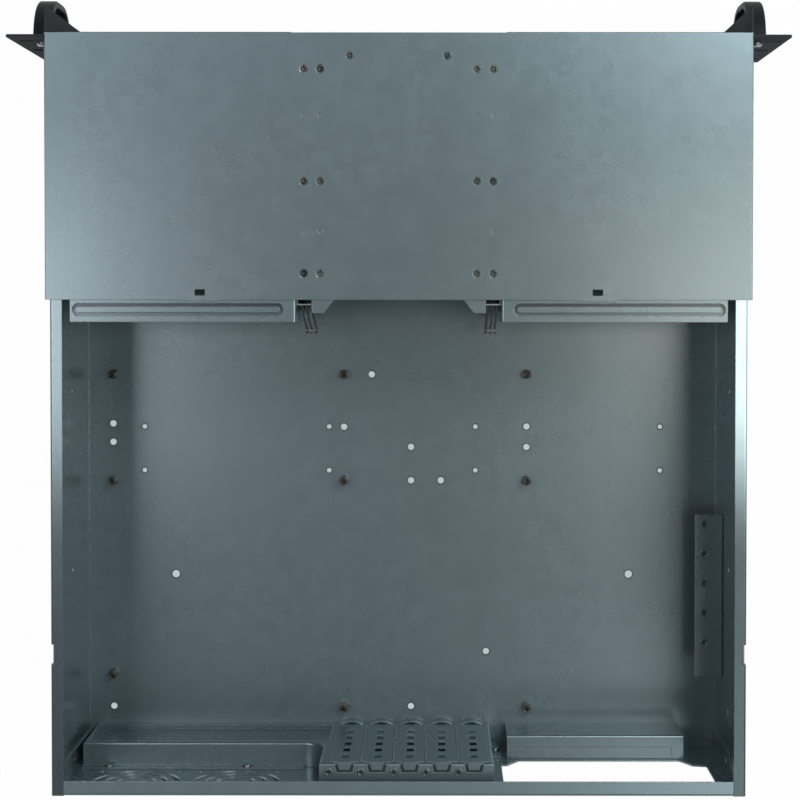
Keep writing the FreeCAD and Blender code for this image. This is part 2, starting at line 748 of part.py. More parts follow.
def io_shield():
    part = body("io_shield")
    x0, x1 = "port_x + seam", "port_x + port_width - seam"
    z0, z1 = "port_z + seam", "port_z + port_height - seam"
    pad(part, "XZ", "recess_y", "shield_depth", rectangle(x0, z0, x1, z1))
    inner = rectangle(x0 + " + shield_steel", z0 + " + shield_steel", x1 + " - shield_steel",
                      z1 + " - shield_steel")
    cut(part, "XZ", "recess_y", "shield_depth - shield_steel", inner)
    for x in ("port_x + shield_boss_x", "port_x + shield_boss_x + shield_boss_pitch"):
        pad(part, "XZ", "recess_y + shield_depth - shield_steel - shield_boss_lift",
            "shield_boss_lift + shield_steel / 2",
            ("circle", x, "port_z + port_height - shield_boss_drop", "shield_boss"))
    return part


def slot_cover(number, x):
    part = body("slot_cover_%d" % number)
    half, tip = "cover_width / 2", "cover_tongue_width / 2"
    low, shoulder = "tongue_z - cover_tongue", "cover_low - cover_shoulder"
    top, tab_top = "ledge_z - cover_drop", "ledge_z + cover_steel"
    face = [(x + " - (%s)" % tip, low), (x + " + (%s)" % tip, low), (x + " + (%s)" % tip, shoulder),
            (x + " + (%s)" % half, "cover_low"), (x + " + (%s)" % half, top), (x + " + cover_tab / 2", top),
            (x + " + cover_tab / 2", tab_top), (x + " - cover_tab / 2", tab_top),
            (x + " - cover_tab / 2", top), (x + " - (%s)" % half, top), (x + " - (%s)" % half, "cover_low"),
            (x + " - (%s)" % tip, shoulder)]
    inner = "recess_y - seam - cover_steel"
    pad(part, "XZ", inner, "cover_steel", face)
    tab_end = "recess_y + tab_reach"
    tab = [(x + " - cover_tab / 2", inner), (x + " + cover_tab / 2", inner),
           (x + " + cover_tab / 2", "recess_y"), (x + " + cover_tab / 2 - notch_taper", tab_end),
           (x + " - cover_tab / 2 + notch_taper", tab_end), (x + " - cover_tab / 2", "recess_y")]
    pad(part, "XY", "ledge_z", "cover_steel", tab)
    vents = [rectangle(x + " - vent_width / 2", "vent_low + %d * vent_pitch - vent_height / 2" % row,
                       x + " + vent_width / 2", "vent_low + %d * vent_pitch + vent_height / 2" % row)
             for row in range(sizes["vent_count"])]
    cut(part, "XZ", inner, "cover_steel", *vents)
    return part


# ---------------------------------------------------------------- power supply supports
def psu_shelf():
    part = body("psu_shelf")
    rear, front = "recess_rear", "shelf_front"
    under, hem = "psu_seat - steel", "psu_seat - psu_shelf_hem"
    section = [(front, "floor_top"), (front + " + steel", "floor_top"), (front + " + steel", under),
               (rear + " - steel", under), (rear + " - steel", hem), (rear, hem), (rear, "psu_seat"),
               (front, "psu_seat")]
    start = "psu_shelf_x - psu_shelf_width / 2"
    pad(part, "YZ", start, "psu_shelf_width", section)
    along = lambda box: box.YLength < 0.01 and box.ZLength < 0.01
    round_edges(part, "bend", lambda box: along(box) and near(box.YMin, front) and near(box.ZMin, "psu_seat"))
    slots = [("obround", "shelf_slot_x + %d * shelf_slot_pitch" % step, "shelf_slot_z",
              "shelf_slot_length", "shelf_slot_height") for step in (-2, -1, 0, 1, 2)]
    cut(part, "XZ", front, "steel", *slots)
    pressed = rectangle("emboss_x - emboss_length / 2", rear + " - emboss_width",
                        "emboss_x + emboss_length / 2", rear)
    cut(part, "XY", "psu_seat - emboss_depth", "emboss_depth", pressed)
    return part


def psu_side_rail():
    part = body("psu_side_rail")
    wall = "-wall_x + seam"
    pad(part, "XZ", "rail_y", "rail_length",
        [(wall, "psu_seat - rail_leg"), (wall + " + steel", "psu_seat - rail_leg"),
         (wall + " + steel", "psu_seat - steel"), (wall + " + rail_width", "psu_seat - steel"),
         (wall + " + rail_width", "psu_seat"), (wall, "psu_seat")])
    round_edges(part, "bend / 2", lambda box: box.XLength < 0.01 and box.ZLength < 0.01
                and near(box.ZMin, "psu_seat") and near(box.XMin, wall))
    holes = [("circle", wall + " + rail_hole_inset",
              "rail_y + rail_hole_first + %d * rail_hole_pitch" % step, "rail_hole") for step in range(5)]
    cut(part, "XY", "psu_seat - steel", "steel", *holes)
    rivet_holes = [("circle", place, "psu_seat - rail_leg / 2", "rivet_radius")
                   for place in rail_rivet_places()]
    cut(part, "YZ", wall, "steel", *rivet_holes)
    return part


# ---------------------------------------------------------------- roof
def roof_screw_places():
    rows = ("screw_y_front", "screw_y_middle", "screw_y_rear")
    spots = [(side + reach, row) for side in ("", "-") for row in rows
             for reach in ("screw_row_inner", "screw_row_outer")]
    return spots + [("front_screw_x", "front_screw_y"), ("-front_screw_x", "front_screw_y")]


def roof_cover():
    part = body("roof_cover")
    front = "-panel_steel"
    half_lip, lip = "lip_width / 2", "roof_depth + lip_reach"
    outline = [("-roof_half", front), ("roof_half", front), ("roof_half", "roof_depth")]
    for side in ("", "-"):
        first, last = ["%slid_slot_x%s%s" % (side, sign, half_lip) for sign in (" + ", " - ")]
        outline += [(first + " + lip_reach", "roof_depth"), (first, lip), (last, lip),
                    (last + " - lip_reach", "roof_depth")]
    outline.append(("-roof_half", "roof_depth"))
    pad(part, "XY", "body_height", "steel", outline)
    for x in ("-roof_half", "ear_x"):
        side = rectangle("ear_steel + seam", "body_height - roof_side", "roof_depth", "body_height + steel")
        pad(part, "YZ", x, "steel", side)
    round_edges(part, "bend / 2", lambda box: box.XLength < 0.01 and box.ZLength < 0.01
                and abs(abs(box.XMin) - value("roof_half")) < 0.01 and near(box.ZMin, "body_height + steel")
                and box.YLength > value("roof_depth") / 2)
    slots = [rectangle(side + "lid_slot_x - lid_slot_length / 2", "lid_slot_y - lid_slot_width / 2",
                       side + "lid_slot_x + lid_slot_length / 2", "lid_slot_y + lid_slot_width / 2")
             for side in ("", "-")]
    cut(part, "XY", "body_height", "steel", *slots)
    marks = [("circle", side + reach, row, "mark_radius") for side in ("", "-")
             for reach in ("screw_row_inner", "screw_row_outer") for row in ("mark_y_front", "mark_y_rear")]
    cut(part, "XY", "body_height + steel - mark_depth", "mark_depth", *marks)
    doc.recompute()
    drawn = sketch(part, "XY", "body_height + steel")
    draw(drawn, [("circle", x, y, "screw_radius") for x, y in roof_screw_places()])
    sunk = part.newObject("PartDesign::Hole", "CountersunkHoles")
    sunk.Profile = drawn
    doc.recompute()
    sunk.Threaded = False
    sunk.DepthType = "ThroughAll"
    bind(sunk, "Diameter", "2 * screw_radius")
    sunk.HoleCutType = "Countersink"
    sunk.HoleCutCustomValues = True
    bind(sunk, "HoleCutDiameter", "2 * screw_head")
    sunk.HoleCutCountersinkAngle = 90
    doc.recompute()
    return part


def countersunk_screw(length):
    """A flat-headed machine screw with a cross recess, its head's face at Z = 0."""
    radius, head = value("screw_radius"), value("screw_head")
    screw = Part.makeCone(radius, head, head - radius, Vector(0, 0, radius - head))
    screw = screw.fuse(Part.makeCylinder(radius, length, Vector(0, 0, -length))).removeSplitter()
    reach, slot = value("cross_reach"), value("cross_width")
    depth = (head - radius) * 0.8
    bar = Part.makeBox(2 * reach, slot, depth, Vector(-reach, -slot / 2, -depth))
    other = Part.makeBox(slot, 2 * reach, depth, Vector(-slot / 2, -reach, -depth))
    return screw.cut(bar.fuse(other))


def pan_screw(length):
    """A domed machine screw along -Z, the seat of its head at Z = 0."""
    radius, head, height = value("handle_screw"), value("pan_head"), value("pan_height")
    cap = Part.makeCylinder(head, height)
    cap = cap.makeFillet(height * 0.6, [edge for edge in cap.Edges
                                        if edge.BoundBox.ZMin > height / 2 and edge.BoundBox.ZLength < 0.1])
    screw = cap.fuse(Part.makeCylinder(radius, length, Vector(0, 0, -length))).removeSplitter()
    cross = Part.makeBox(head, 0.9, 1.0, Vector(-head / 2, -0.45, height - 1.0))
    other = Part.makeBox(0.9, head, 1.0, Vector(-0.45, -head / 2, height - 1.0))
    return screw.cut(cross.fuse(other))


def moved(shape, x, y, z, axis=None, angle=0):
    made = shape.copy()
    if axis:
        made.rotate(Vector(0, 0, 0), axis, angle)
    made.translate(Vector(value(x), value(y), value(z)))
    return made


def roof_screws():
    screw = countersunk_screw(value("screw_length"))
    return feature("roof_screws", Part.makeCompound(
        [moved(screw, x, y, "body_height + steel") for x, y in roof_screw_places()]))


# ---------------------------------------------------------------- bays under the roof
def mirrored(side, text):
    """The same place on the other side of the case."""
    return text if side == "right" else "-(%s)" % text


def bay_bracket(side):
    part = body("bay_bracket_" + side)
    flip = lambda text: mirrored(side, text)
    wall_out, top = "bay_wall_x - steel", "sheet_top"
    foot = "bay_wall_x + bay_foot"
    section = [(flip(wall_out), "floor_top"), (flip(foot), "floor_top"),
               (flip(foot), "floor_top + steel"), (flip("bay_wall_x"), "floor_top + steel"),
               (flip("bay_wall_x"), top + " - steel"), (flip("bay_top_edge"), top + " - steel"),
               (flip("bay_top_edge"), top), (flip(wall_out), top)]
    pad(part, "XZ", "bay_start", "bay_depth - bay_start", section)
    round_edges(part, "bend", lambda box: long_edge(box, flip(wall_out), top))
    round_edges(part, "bend / 2", lambda box: box.XLength < 0.01 and box.YLength < 0.01
                and near(box.YMin, "bay_depth") and near(abs(box.XMin), "bay_top_edge"))
    middle = flip("bead_end + bead_length / 2")
    ring = ("obround", middle, "bead_y", "bead_length", "bead_width")
    band = ("obround", middle, "bead_y", "bead_length - bead_width + bead_band", "bead_band")
    pressed = ("obround", middle, "bead_y", "bead_length + 2 * bead_wall", "bead_width + 2 * bead_wall")
    pad(part, "XY", top + " - steel - bead_press", "bead_press + steel / 2", pressed)
    cut(part, "XY", top + " - bead_band_drop", "bead_band_drop", ring)
    cut(part, "XY", top + " - bead_depth", "bead_depth", ring, band)
    clear = rectangle(flip("lid_slot_x") + " - lid_slot_length / 2 - lid_slot_room",
                      "lid_slot_y - lid_slot_width / 2 - lid_slot_room",
                      flip("lid_slot_x") + " + lid_slot_length / 2 + lid_slot_room",
                      "lid_slot_y + lid_slot_width / 2 + lid_slot_room")
    cut(part, "XY", top + " - steel", "steel", clear)
    rows = [("obround", place, "floor_top + bay_pitch * %s" % level, "drive_slot_length", "2 * drive_slot")
            for place in ("drive_slot_front", "drive_slot_back") for level in ("0.3", "1.3", "2.3")]
    cut(part, "YZ", flip(wall_out) if side == "right" else flip("bay_wall_x"), "steel", *rows)
    return part


def centre_cage():
    part = body("centre_cage")
    top, inner = "sheet_top", "cage_half - steel"
    turned, under, inside = "cage_half - steel - cage_flange", top + " - steel", "-cage_half + steel"
    section = [("-cage_half", "floor_top"), ("cage_half", "floor_top"), ("cage_half", top), (turned, top),
               (turned, under), (inner, under), (inner, "floor_top + steel"), (inside, "floor_top + steel"),
               (inside, under), (inside + " + cage_flange", under), (inside + " + cage_flange", top),
               ("-cage_half", top)]
    pad(part, "XZ", "bay_start", "cage_depth - bay_start", section)
    cut(part, "XY", "floor_top", "steel", rectangle(inside, "cage_floor", inner, "cage_depth"))
    for side in ("right", "left"):
        flip = lambda text: mirrored(side, text)
        clear, past = turned + " - steel", "cage_depth + steel"
        corner = [(flip(clear), "cage_depth - cage_shoulder"), (flip(turned), "cage_depth - cage_shoulder"),
                  (flip(turned + " + cage_chamfer"), "cage_depth"), (flip(turned + " + cage_chamfer"), past),
                  (flip(clear), past)]
        cut(part, "XY", top + " - steel", "steel", corner)
        rows = [("obround", place, "floor_top + hdd_pitch * %s" % level, "drive_slot_length",
                 "2 * drive_slot") for place in ("hdd_slot_front", "hdd_slot_back")
                for level in ("0.5", "1.5", "2.5", "3.5")]
        cut(part, "YZ", inner if side == "right" else "-cage_half", "steel", *rows)
    taps = [("circle", mirrored(side, "screw_row_inner"), row, "screw_radius") for side in ("right", "left")
            for row in ("screw_y_front", "screw_y_middle", "screw_y_rear")]
    cut(part, "XY", top + " - steel", "steel", *taps)
    return part


def roof_channel(side):
    part = body("roof_channel_" + side)
    flip = lambda text: mirrored(side, text)
    inner, outer, top = "cage_half + seam", "bay_wall_x - steel - seam", "sheet_top"
    section = [(flip(inner), top + " - channel_leg"), (flip(inner + " + steel"), top + " - channel_leg"),
               (flip(inner + " + steel"), top + " - steel"), (flip(outer + " - steel"), top + " - steel"),
               (flip(outer + " - steel"), top + " - channel_leg"), (flip(outer), top + " - channel_leg"),
               (flip(outer), top), (flip(inner), top)]
    pad(part, "XZ", "channel_start", "channel_depth", section)
    taps = [("circle", flip("screw_row_outer"), row, "screw_radius")
            for row in ("screw_y_front", "screw_y_middle", "screw_y_rear")]
    cut(part, "XY", top + " - steel", "steel", *taps)
    return part


def bent_strip(points, thick, width):
    """A flat strip, bent along arcs in the YZ plane; each arc is three points of its middle line."""
    faces = []
    for start, middle, end in points:
        bow = Part.Arc(start, middle, end).toShape().Curve
        centre, radius = bow.Center, bow.Radius
        grown = [[centre + (point - centre) * ((radius + offset) / radius) for point in (start, middle, end)]
                 for offset in (thick / 2, -thick / 2)]
        outer, inner = [Part.Arc(*three).toShape() for three in grown]
        ends = [Part.makeLine(grown[0][spot], grown[1][spot]) for spot in (0, 2)]
        faces.append(Part.Face(Part.Wire(Part.__sortEdges__([outer, inner] + ends))))
    solid = faces[0].extrude(Vector(width, 0, 0))
    for face in faces[1:]:
        solid = solid.fuse(face.extrude(Vector(width, 0, 0)))
    return solid.removeSplitter()


def latch_spring(side):
    """Spring-steel plate across the gap, with three leaves that bow to the rear and end in a curl."""
    sign = 1 if side == "right" else -1
    low, high, back = value("spring_low"), value("spring_high"), value("spring_y")
    inner, outer = value("cage_half + seam"), value("bay_wall_x - steel - seam")
    thick, leg = value("spring_plate"), value("spring_leg")
    plate = Part.makeBox(outer - inner, thick, high - low, Vector(inner, back, low))
    plate = plate.fuse(Part.makeBox(thick, leg, high - low, Vector(outer - thick, back - leg, low)))
    top, drop, reach = value("leaf_top"), value("leaf_drop"), value("leaf_reach")
    start = Vector(0, back + value("spring_plate") / 2, top)
    end = Vector(0, start.y + reach, top - drop)
    along = end - start
    bulge = Vector(0, along.z, -along.y).normalize() * -value("leaf_bow")
    middle = start + along * 0.5 + bulge
    direction = (end - middle).normalize()
    curl, side_way = value("leaf_curl"), Vector(0, -direction.z, direction.y).normalize()
    heart = end + side_way * curl
    curl_points = [end, heart + direction * curl, heart + side_way * curl]
    strip = bent_strip([(start, middle, end), curl_points], value("leaf_thick"), value("leaf_width"))
    solid = plate
    centre = (inner + outer - value("leaf_width")) / 2
    for step in (-1, 0, 1):
        made = strip.copy()
        made.translate(Vector(centre + step * value("leaf_pitch"), 0, -abs(step) * 4 + step * 3))
        solid = solid.fuse(made)
    solid = solid.removeSplitter()
    if sign < 0:
        solid = solid.mirror(Vector(0, 0, 0), Vector(1, 0, 0))
    return feature("latch_spring_" + side, solid)


# ---------------------------------------------------------------- front
def front_panel():
    part = body("front_panel")
    face = rectangle("-panel_half", "seam", "panel_half", "sheet_top")
    pad(part, "XZ", "-panel_steel", "panel_steel", face)
    for x in ("-panel_half", "panel_half - panel_steel"):
        flange = rectangle("-panel_reach", "seam", "-panel_steel / 2", "sheet_top")
        pad(part, "YZ", x, "panel_steel", flange)
    for side in ("right", "left"):
        flip = lambda text: mirrored(side, text)
        lip = [(flip("lip_gap"), "-panel_steel / 2"), (flip("lip_gap + lip_bevel"), "-panel_reach"),
               (flip("panel_half"), "-panel_reach"), (flip("panel_half"), "-panel_steel / 2")]
        pad(part, "XY", "seam", "panel_steel", lip)
    top = rectangle("-panel_top_flange", "-panel_steel / 2", "panel_top_flange", "panel_top_depth")
    pad(part, "XY", "sheet_top - panel_steel", "panel_steel", top)
    taps = [("circle", side + "front_screw_x", "front_screw_y", "screw_radius") for side in ("", "-")]
    cut(part, "XY", "sheet_top - panel_steel", "panel_steel", *taps)
    openings = [rectangle("%sbay_opening_x - bay_opening / 2" % side, "bay_opening_z",
                          "%sbay_opening_x + bay_opening / 2" % side, "bay_opening_z + bay_opening_height")
                for side in ("", "-")]
    openings.append(rectangle("-drive_opening / 2", "drive_opening_z", "drive_opening / 2",
                              "drive_opening_z + drive_opening_height"))
    cut(part, "XZ", "-panel_steel", "panel_steel", *openings)
    vents = [("obround", "0", "front_vent_z + %d * front_vent_pitch" % row, "front_vent_length",
              "front_vent_height") for row in range(sizes["front_vent_count"])]
    buttons = [("circle", "power_x", "button_z", "power_radius + button_gap"),
               ("circle", "reset_x", "button_z", "reset_radius + button_gap")]
    lamps = [("circle", "lamp_x - %d * lamp_pitch" % step, "button_z", "lamp_radius") for step in range(3)]
    cut(part, "XZ", "-panel_steel", "panel_steel", *(vents + buttons + lamps))
    hole = ("circle", "-flange_hole_reach", "flange_hole_top", "flange_hole")
    more = [("circle", "-flange_hole_reach", "flange_hole_top - %d * flange_hole_pitch" % step, "flange_hole")
            for step in (1, 2)]
    cut(part, "YZ", "-panel_half", "panel_steel", hole)
    cut(part, "YZ", "panel_half - panel_steel", "panel_steel", hole, *more)
    return part


def rack_ear(side):
    part = body("rack_ear_" + side)
    flip = lambda text: mirrored(side, text)
    step, tip, lowest = "panel_half + seam", "rack_width / 2", "seam"
    plate = [(flip("half_body"), lowest), (flip(tip), lowest), (flip(tip), "panel_height"),
             (flip(step), "panel_height"), (flip(step), "sheet_top - seam"),
             (flip("half_body"), "sheet_top - seam")]
    pad(part, "XZ", "0", "ear_steel", plate)
    leg = rectangle("0", lowest, "ear_leg", "sheet_top - seam")
    pad(part, "YZ", "half_body" if side == "right" else "-ear_x", "ear_steel", leg)
    round_edges(part, "ear_corner", lambda box: box.XLength < 0.01 and box.ZLength < 0.01
                and near(abs(box.XMin), tip))
    slots = [("obround", flip("rack_slot_x"), "panel_height / 2 + %d * rack_slot_pitch" % step,
              "rack_slot_length", "rack_slot_height") for step in (-1, 0, 1)]
    holes = [("circle", flip("handle_x"), place, "handle_screw") for place in handle_screw_heights()]
    cut(part, "XZ", "0", "ear_steel", *(slots + holes))
    sunk = [("circle", "ear_leg / 2 + ear_steel", "panel_height / 2 + %d * ear_screw_pitch" % step,
             "screw_radius") for step in (-1, 0, 1)]
    cut(part, "YZ", "half_body" if side == "right" else "-ear_x", "ear_steel", *sunk)
    doc.recompute()
    outer = value("ear_x") * (1 if side == "right" else -1)
    tip_feature = part.Tip
    rims = ["Edge%d" % number for number, edge in enumerate(tip_feature.Shape.Edges, 1)
            if edge.BoundBox.XLength < 0.01 and abs(edge.BoundBox.XMin - outer) < 0.01
            and abs(edge.BoundBox.YLength - 2 * value("screw_radius")) < 0.02]
    sink = part.newObject("PartDesign::Chamfer", "Countersinks")
    sink.Base = (tip_feature, rims)
    bind(sink, "Size", "screw_head - screw_radius")
    doc.recompute()
    return part


def handle_screw_heights():
    return ["handle_z %s (handle_span - handle_thick) / 2" % sign for sign in "+-"]


def handle(side):
    """A flat bar bent to an arch, standing on the ear's front."""
    part = body("handle_" + side)
    drawn = sketch(part, "YZ", mirrored(side, "handle_x") + " - handle_width / 2")
    for inset in ("0", "handle_thick"):
        half, reach = "handle_span / 2 - %s" % inset, "handle_reach - %s" % inset
        turn = "handle_corner - %s" % inset
        across, along = value(turn), value(half)
        front, centre = -value(reach), value("handle_z")
        heart = Vector(front + across, 0, 0)
        up = Vector(0, 0, 1)
        top = Part.LineSegment(Vector(0, centre + along, 0), Vector(heart.x, centre + along, 0))
        upper = Part.ArcOfCircle(Part.Circle(Vector(heart.x, centre + along - across, 0), up, across),
                                 math.pi / 2, math.pi)
        face = Part.LineSegment(Vector(front, centre + along - across, 0),
                                Vector(front, centre - along + across, 0))
        lower = Part.ArcOfCircle(Part.Circle(Vector(heart.x, centre - along + across, 0), up, across),
                                 math.pi, 3 * math.pi / 2)
        bottom = Part.LineSegment(Vector(heart.x, centre - along, 0), Vector(0, centre - along, 0))
        one, two, three, four, five = [drawn.addGeometry(item, False)
                                       for item in (top, upper, face, lower, bottom)]
        drawn.addConstraint(Sketcher.Constraint("Tangent", one, 2, two, 1))
        drawn.addConstraint(Sketcher.Constraint("Tangent", two, 2, three, 1))
        drawn.addConstraint(Sketcher.Constraint("Tangent", three, 2, four, 1))
        drawn.addConstraint(Sketcher.Constraint("Tangent", four, 2, five, 1))
        drawn.addConstraint(Sketcher.Constraint("Horizontal", one))
        drawn.addConstraint(Sketcher.Constraint("Vertical", three))
        index = drawn.addConstraint(Sketcher.Constraint("Radius", two, across))
        bind(drawn, "Constraints[%d]" % index, turn)
        drawn.addConstraint(Sketcher.Constraint("Equal", two, four))
        pin(drawn, "DistanceX", three, 1, "-(%s)" % reach)
        pin(drawn, "DistanceY", one, 1, "handle_z + (%s)" % half)
        pin(drawn, "DistanceY", five, 2, "handle_z - (%s)" % half)
        for line, point in ((one, 1), (five, 2)):
            drawn.addConstraint(Sketcher.Constraint("PointOnObject", line, point, -2))
        if inset == "0":
            outer_ends = (one, five)
        else:
            for mine, theirs, ends in ((one, outer_ends[0], (1, 1)), (five, outer_ends[1], (2, 2))):
                start = drawn.Geometry[mine].StartPoint if ends[0] == 1 else drawn.Geometry[mine].EndPoint
                stop = drawn.Geometry[theirs].StartPoint if ends[1] == 1 else drawn.Geometry[theirs].EndPoint
                link = drawn.addGeometry(Part.LineSegment(start, stop), False)
                drawn.addConstraint(Sketcher.Constraint("Coincident", link, 1, mine, ends[0]))
                drawn.addConstraint(Sketcher.Constraint("Coincident", link, 2, theirs, ends[1]))
    made = part.newObject("PartDesign::Pad", "Pad")
    made.Profile = drawn
    bind(made, "Length", "handle_width")
    round_edges(part, "handle_edge", lambda box: box.XLength < 0.01 and box.YMax < -0.05
                or (box.XLength < 0.01 and box.YLength > 1))
    taps = [("circle", mirrored(side, "handle_x"), place, "handle_screw") for place in handle_screw_heights()]
    cut(part, "XZ", "-handle_screw_depth", "handle_screw_depth", *taps)
    return part


def handle_screws():
    screw = pan_screw(value("ear_steel + handle_screw_depth"))
    return feature("handle_screws", Part.makeCompound(
        [moved(screw, mirrored(side, "handle_x"), "ear_steel", place, Vector(1, 0, 0), -90)
         for side in ("right", "left") for place in handle_screw_heights()]))


def ear_screws():
    screw = countersunk_screw(value("ear_steel + steel + seam"))
    made = []
    for side, turn in (("right", 90), ("left", -90)):
        for step in (-1, 0, 1):
            made.append(moved(screw, mirrored(side, "ear_x"), "ear_leg / 2 + ear_steel",
                              "panel_height / 2 + %d * ear_screw_pitch" % step, Vector(0, 1, 0), turn))
    return feature("ear_screws", Part.makeCompound(made))


def blank(label, x, z, width, height):
    """A moulded blank for a drive opening, hollow behind, with bevelled front edges."""
    part = body(label)
    x0, x1 = "%s - (%s) / 2 + blank_gap" % (x, width), "%s + (%s) / 2 - blank_gap" % (x, width)
    z0, z1 = "%s + blank_gap" % z, "%s + (%s) - blank_gap" % (z, height)
    front = "-panel_steel - blank_proud"
    pad(part, "XZ", front, "blank_depth + blank_proud", rectangle(x0, z0, x1, z1))
    round_edges(part, "blank_edge", lambda box: box.YLength < 0.01 and near(box.YMin, front))
    hollow = rectangle(x0 + " + blank_wall", z0 + " + blank_wall", x1 + " - blank_wall", z1 + " - blank_wall")
    cut(part, "XZ", front + " + blank_wall", "blank_depth + blank_proud - blank_wall", hollow)
    return part


def bay_covers():
    for side in ("left", "right"):
        for number in (1, 2, 3):
            blank("bay_cover_%s_%d" % (side, number), mirrored(side, "bay_opening_x"),
                  "bay_opening_z + %d * blank_pitch" % (number - 1), "bay_opening", "blank_pitch")
    blank("drive_cover", "0", "drive_opening_z", "drive_opening", "drive_opening_height")


# ---------------------------------------------------------------- buttons, lamps, fixings
def push_button(name, x, radius):
    """A cap on a stem: its plain bottom face stops on the switch body when pressed."""
    part = body(name)
    front = "-panel_steel - button_proud"
    pad(part, "XZ", front, "button_cap", ("circle", x, "button_z", radius))
    round_edges(part, "button_proud / 2", lambda box: box.YLength < 0.01 and near(box.YMin, front))
    pad(part, "XZ", front + " + button_cap / 2", "button_cap / 2 + stem_length",
        ("circle", x, "button_z", "stem_radius"))
    return part


def switch_body(name, x):
    """The switch behind a button, open through for the stem."""
    part = body(name)
    front = "-panel_steel - button_proud + button_cap + button_travel + seam"
    square = rectangle("%s - switch_width / 2" % x, "button_z - switch_width / 2",
                       "%s + switch_width / 2" % x, "button_z + switch_width / 2")
    pad(part, "XZ", front, "switch_depth", square)
    cut(part, "XZ", front, "switch_depth", ("circle", x, "button_z", "stem_radius + stem_gap"))
    return part


def indicator_lenses():
    radius, length = value("lamp_radius"), value("lamp_length")
    dome, front = value("lamp_dome"), value("-panel_steel")
    ball_radius = (radius ** 2 + dome ** 2) / (2 * dome)
    rod = Part.makeCylinder(radius, length + dome, Vector(0, front - dome, 0), Vector(0, 1, 0))
    ball = Part.makeSphere(ball_radius, Vector(0, front - dome + ball_radius, 0))
    tail = Part.makeCylinder(radius, length, Vector(0, front, 0), Vector(0, 1, 0))
    lens = rod.common(ball).fuse(tail).removeSplitter()
    return feature("indicator_lenses", Part.makeCompound(
        [moved(lens, "lamp_x - %d * lamp_pitch" % step, "0", "button_z") for step in range(3)]))


def rivet(grip):
    """A pop rivet along Z: its dome stands on Z = 0 and its tail is spread below the grip."""
    radius, head, dome = value("rivet_radius"), value("rivet_head"), value("rivet_dome")
    ball_radius = (head ** 2 + dome ** 2) / (2 * dome)
    ball = Part.makeSphere(ball_radius, Vector(0, 0, dome - ball_radius))
    cap = ball.common(Part.makeCylinder(head, dome))
    shank = Part.makeCylinder(radius, grip, Vector(0, 0, -grip))
    tail = Part.makeCylinder(radius * 1.4, dome, Vector(0, 0, -grip - dome))
    return cap.fuse([shank, tail]).removeSplitter()


def rivets():
    made = []
    shank = rivet(value("2 * steel + seam"))
    inner = "wall_x - seam - steel"
    for side, turn in (("right", -90), ("left", 90)):
        for step in range(3):
            made.append(moved(shank, mirrored(side, inner), "rivet_y", "rivet_low + %d * rivet_pitch" % step,
                              Vector(0, 1, 0), turn))
    for place in rail_rivet_places():
        made.append(moved(shank, "-(%s)" % inner, place, "psu_seat - rail_leg / 2", Vector(0, 1, 0), 90))
    return feature("rivets", Part.makeCompound(made))


def recess_screws():
    radius, head = value("screw_radius"), value("pan_head") * 0.8
    height, grip = value("pan_height") * 0.7, value("2 * steel + seam")
    cap = Part.makeCylinder(head, height)
    cap = cap.makeFillet(height * 0.5, [edge for edge in cap.Edges
                                        if edge.BoundBox.ZMin > height / 2 and edge.BoundBox.ZLength < 0.1])
    screw = cap.fuse(Part.makeCylinder(radius, grip, Vector(0, 0, -grip))).removeSplitter()
    return feature("recess_screws", Part.makeCompound(
        [moved(screw, x, "recess_rear - steel", z, Vector(1, 0, 0), 90) for x, z in recess_screw_places()]))


def standoffs():
    """Hexagonal posts for a full-size motherboard; the port-side rear one sits further forward."""
    flats, height = value("standoff_flats"), value("standoff_height")
    corners = [Vector(flats / math.sqrt(3) * math.cos(math.radians(60 * turn)),
                      flats / math.sqrt(3) * math.sin(math.radians(60 * turn)), 0) for turn in range(7)]
    post = Part.Face(Part.makePolygon(corners)).extrude(Vector(0, 0, height))
    post = post.cut(Part.makeCylinder(value("standoff_thread"), height * 0.8, Vector(0, 0, height * 0.2)))
    columns = ["board_x", "board_x - column_two", "board_x - column_three"]
    spots = [(column, row) for column in columns
             for row in ("board_y - row_front", "board_y - row_middle",
                         "board_y - row_port" if column == "board_x" else "board_y")]
    return feature("standoffs", Part.makeCompound([moved(post, x, y, "steel") for x, y in spots]))


def build():
    chassis_tray()
    rear_panel()
    recess_panel()
    io_shield()
    for number, x in enumerate(slot_columns(), 1):
        slot_cover(number, x)
    psu_shelf()
    psu_side_rail()
    roof_cover()
    roof_screws()
    for side in ("left", "right"):
        bay_bracket(side)
        roof_channel(side)
        latch_spring(side)
        rack_ear(side)
        handle(side)
    centre_cage()
    front_panel()
    handle_screws()
    ear_screws()
    bay_covers()
    push_button("power_button", "power_x", "power_radius")
    switch_body("power_switch", "power_x")
    push_button("reset_button", "reset_x", "reset_radius")
    switch_body("reset_switch", "reset_x")
    indicator_lenses()
    rivets()
    recess_screws()
    standoffs()
    doc.recompute()


def check():
    for thing in doc.Objects:
        if "Invalid" in thing.State or "Error" in thing.State:
            raise ValueError("%s failed: %s" % (thing.Label, thing.State))
    for piece in pieces:
        if piece.Shape.isNull() or not piece.Shape.isValid():
            raise ValueError("%s has no valid shape" % piece.Label)


def export():
    os.makedirs("parts", exist_ok=True)
    for piece in pieces:
        piece.Shape.exportStep("parts/%s.step" % piece.Label)
        box = piece.Shape.BoundBox
        print("%-24s %2d solids  X %.1f..%.1f  Y %.1f..%.1f  Z %.1f..%.1f" % (
            piece.Label, len(piece.Shape.Solids), box.XMin, box.XMax, box.YMin, box.YMax, box.ZMin, box.ZMax))


build()
check()
export()
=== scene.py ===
import math

import bmesh
import bpy
from mathutils import Matrix, Vector


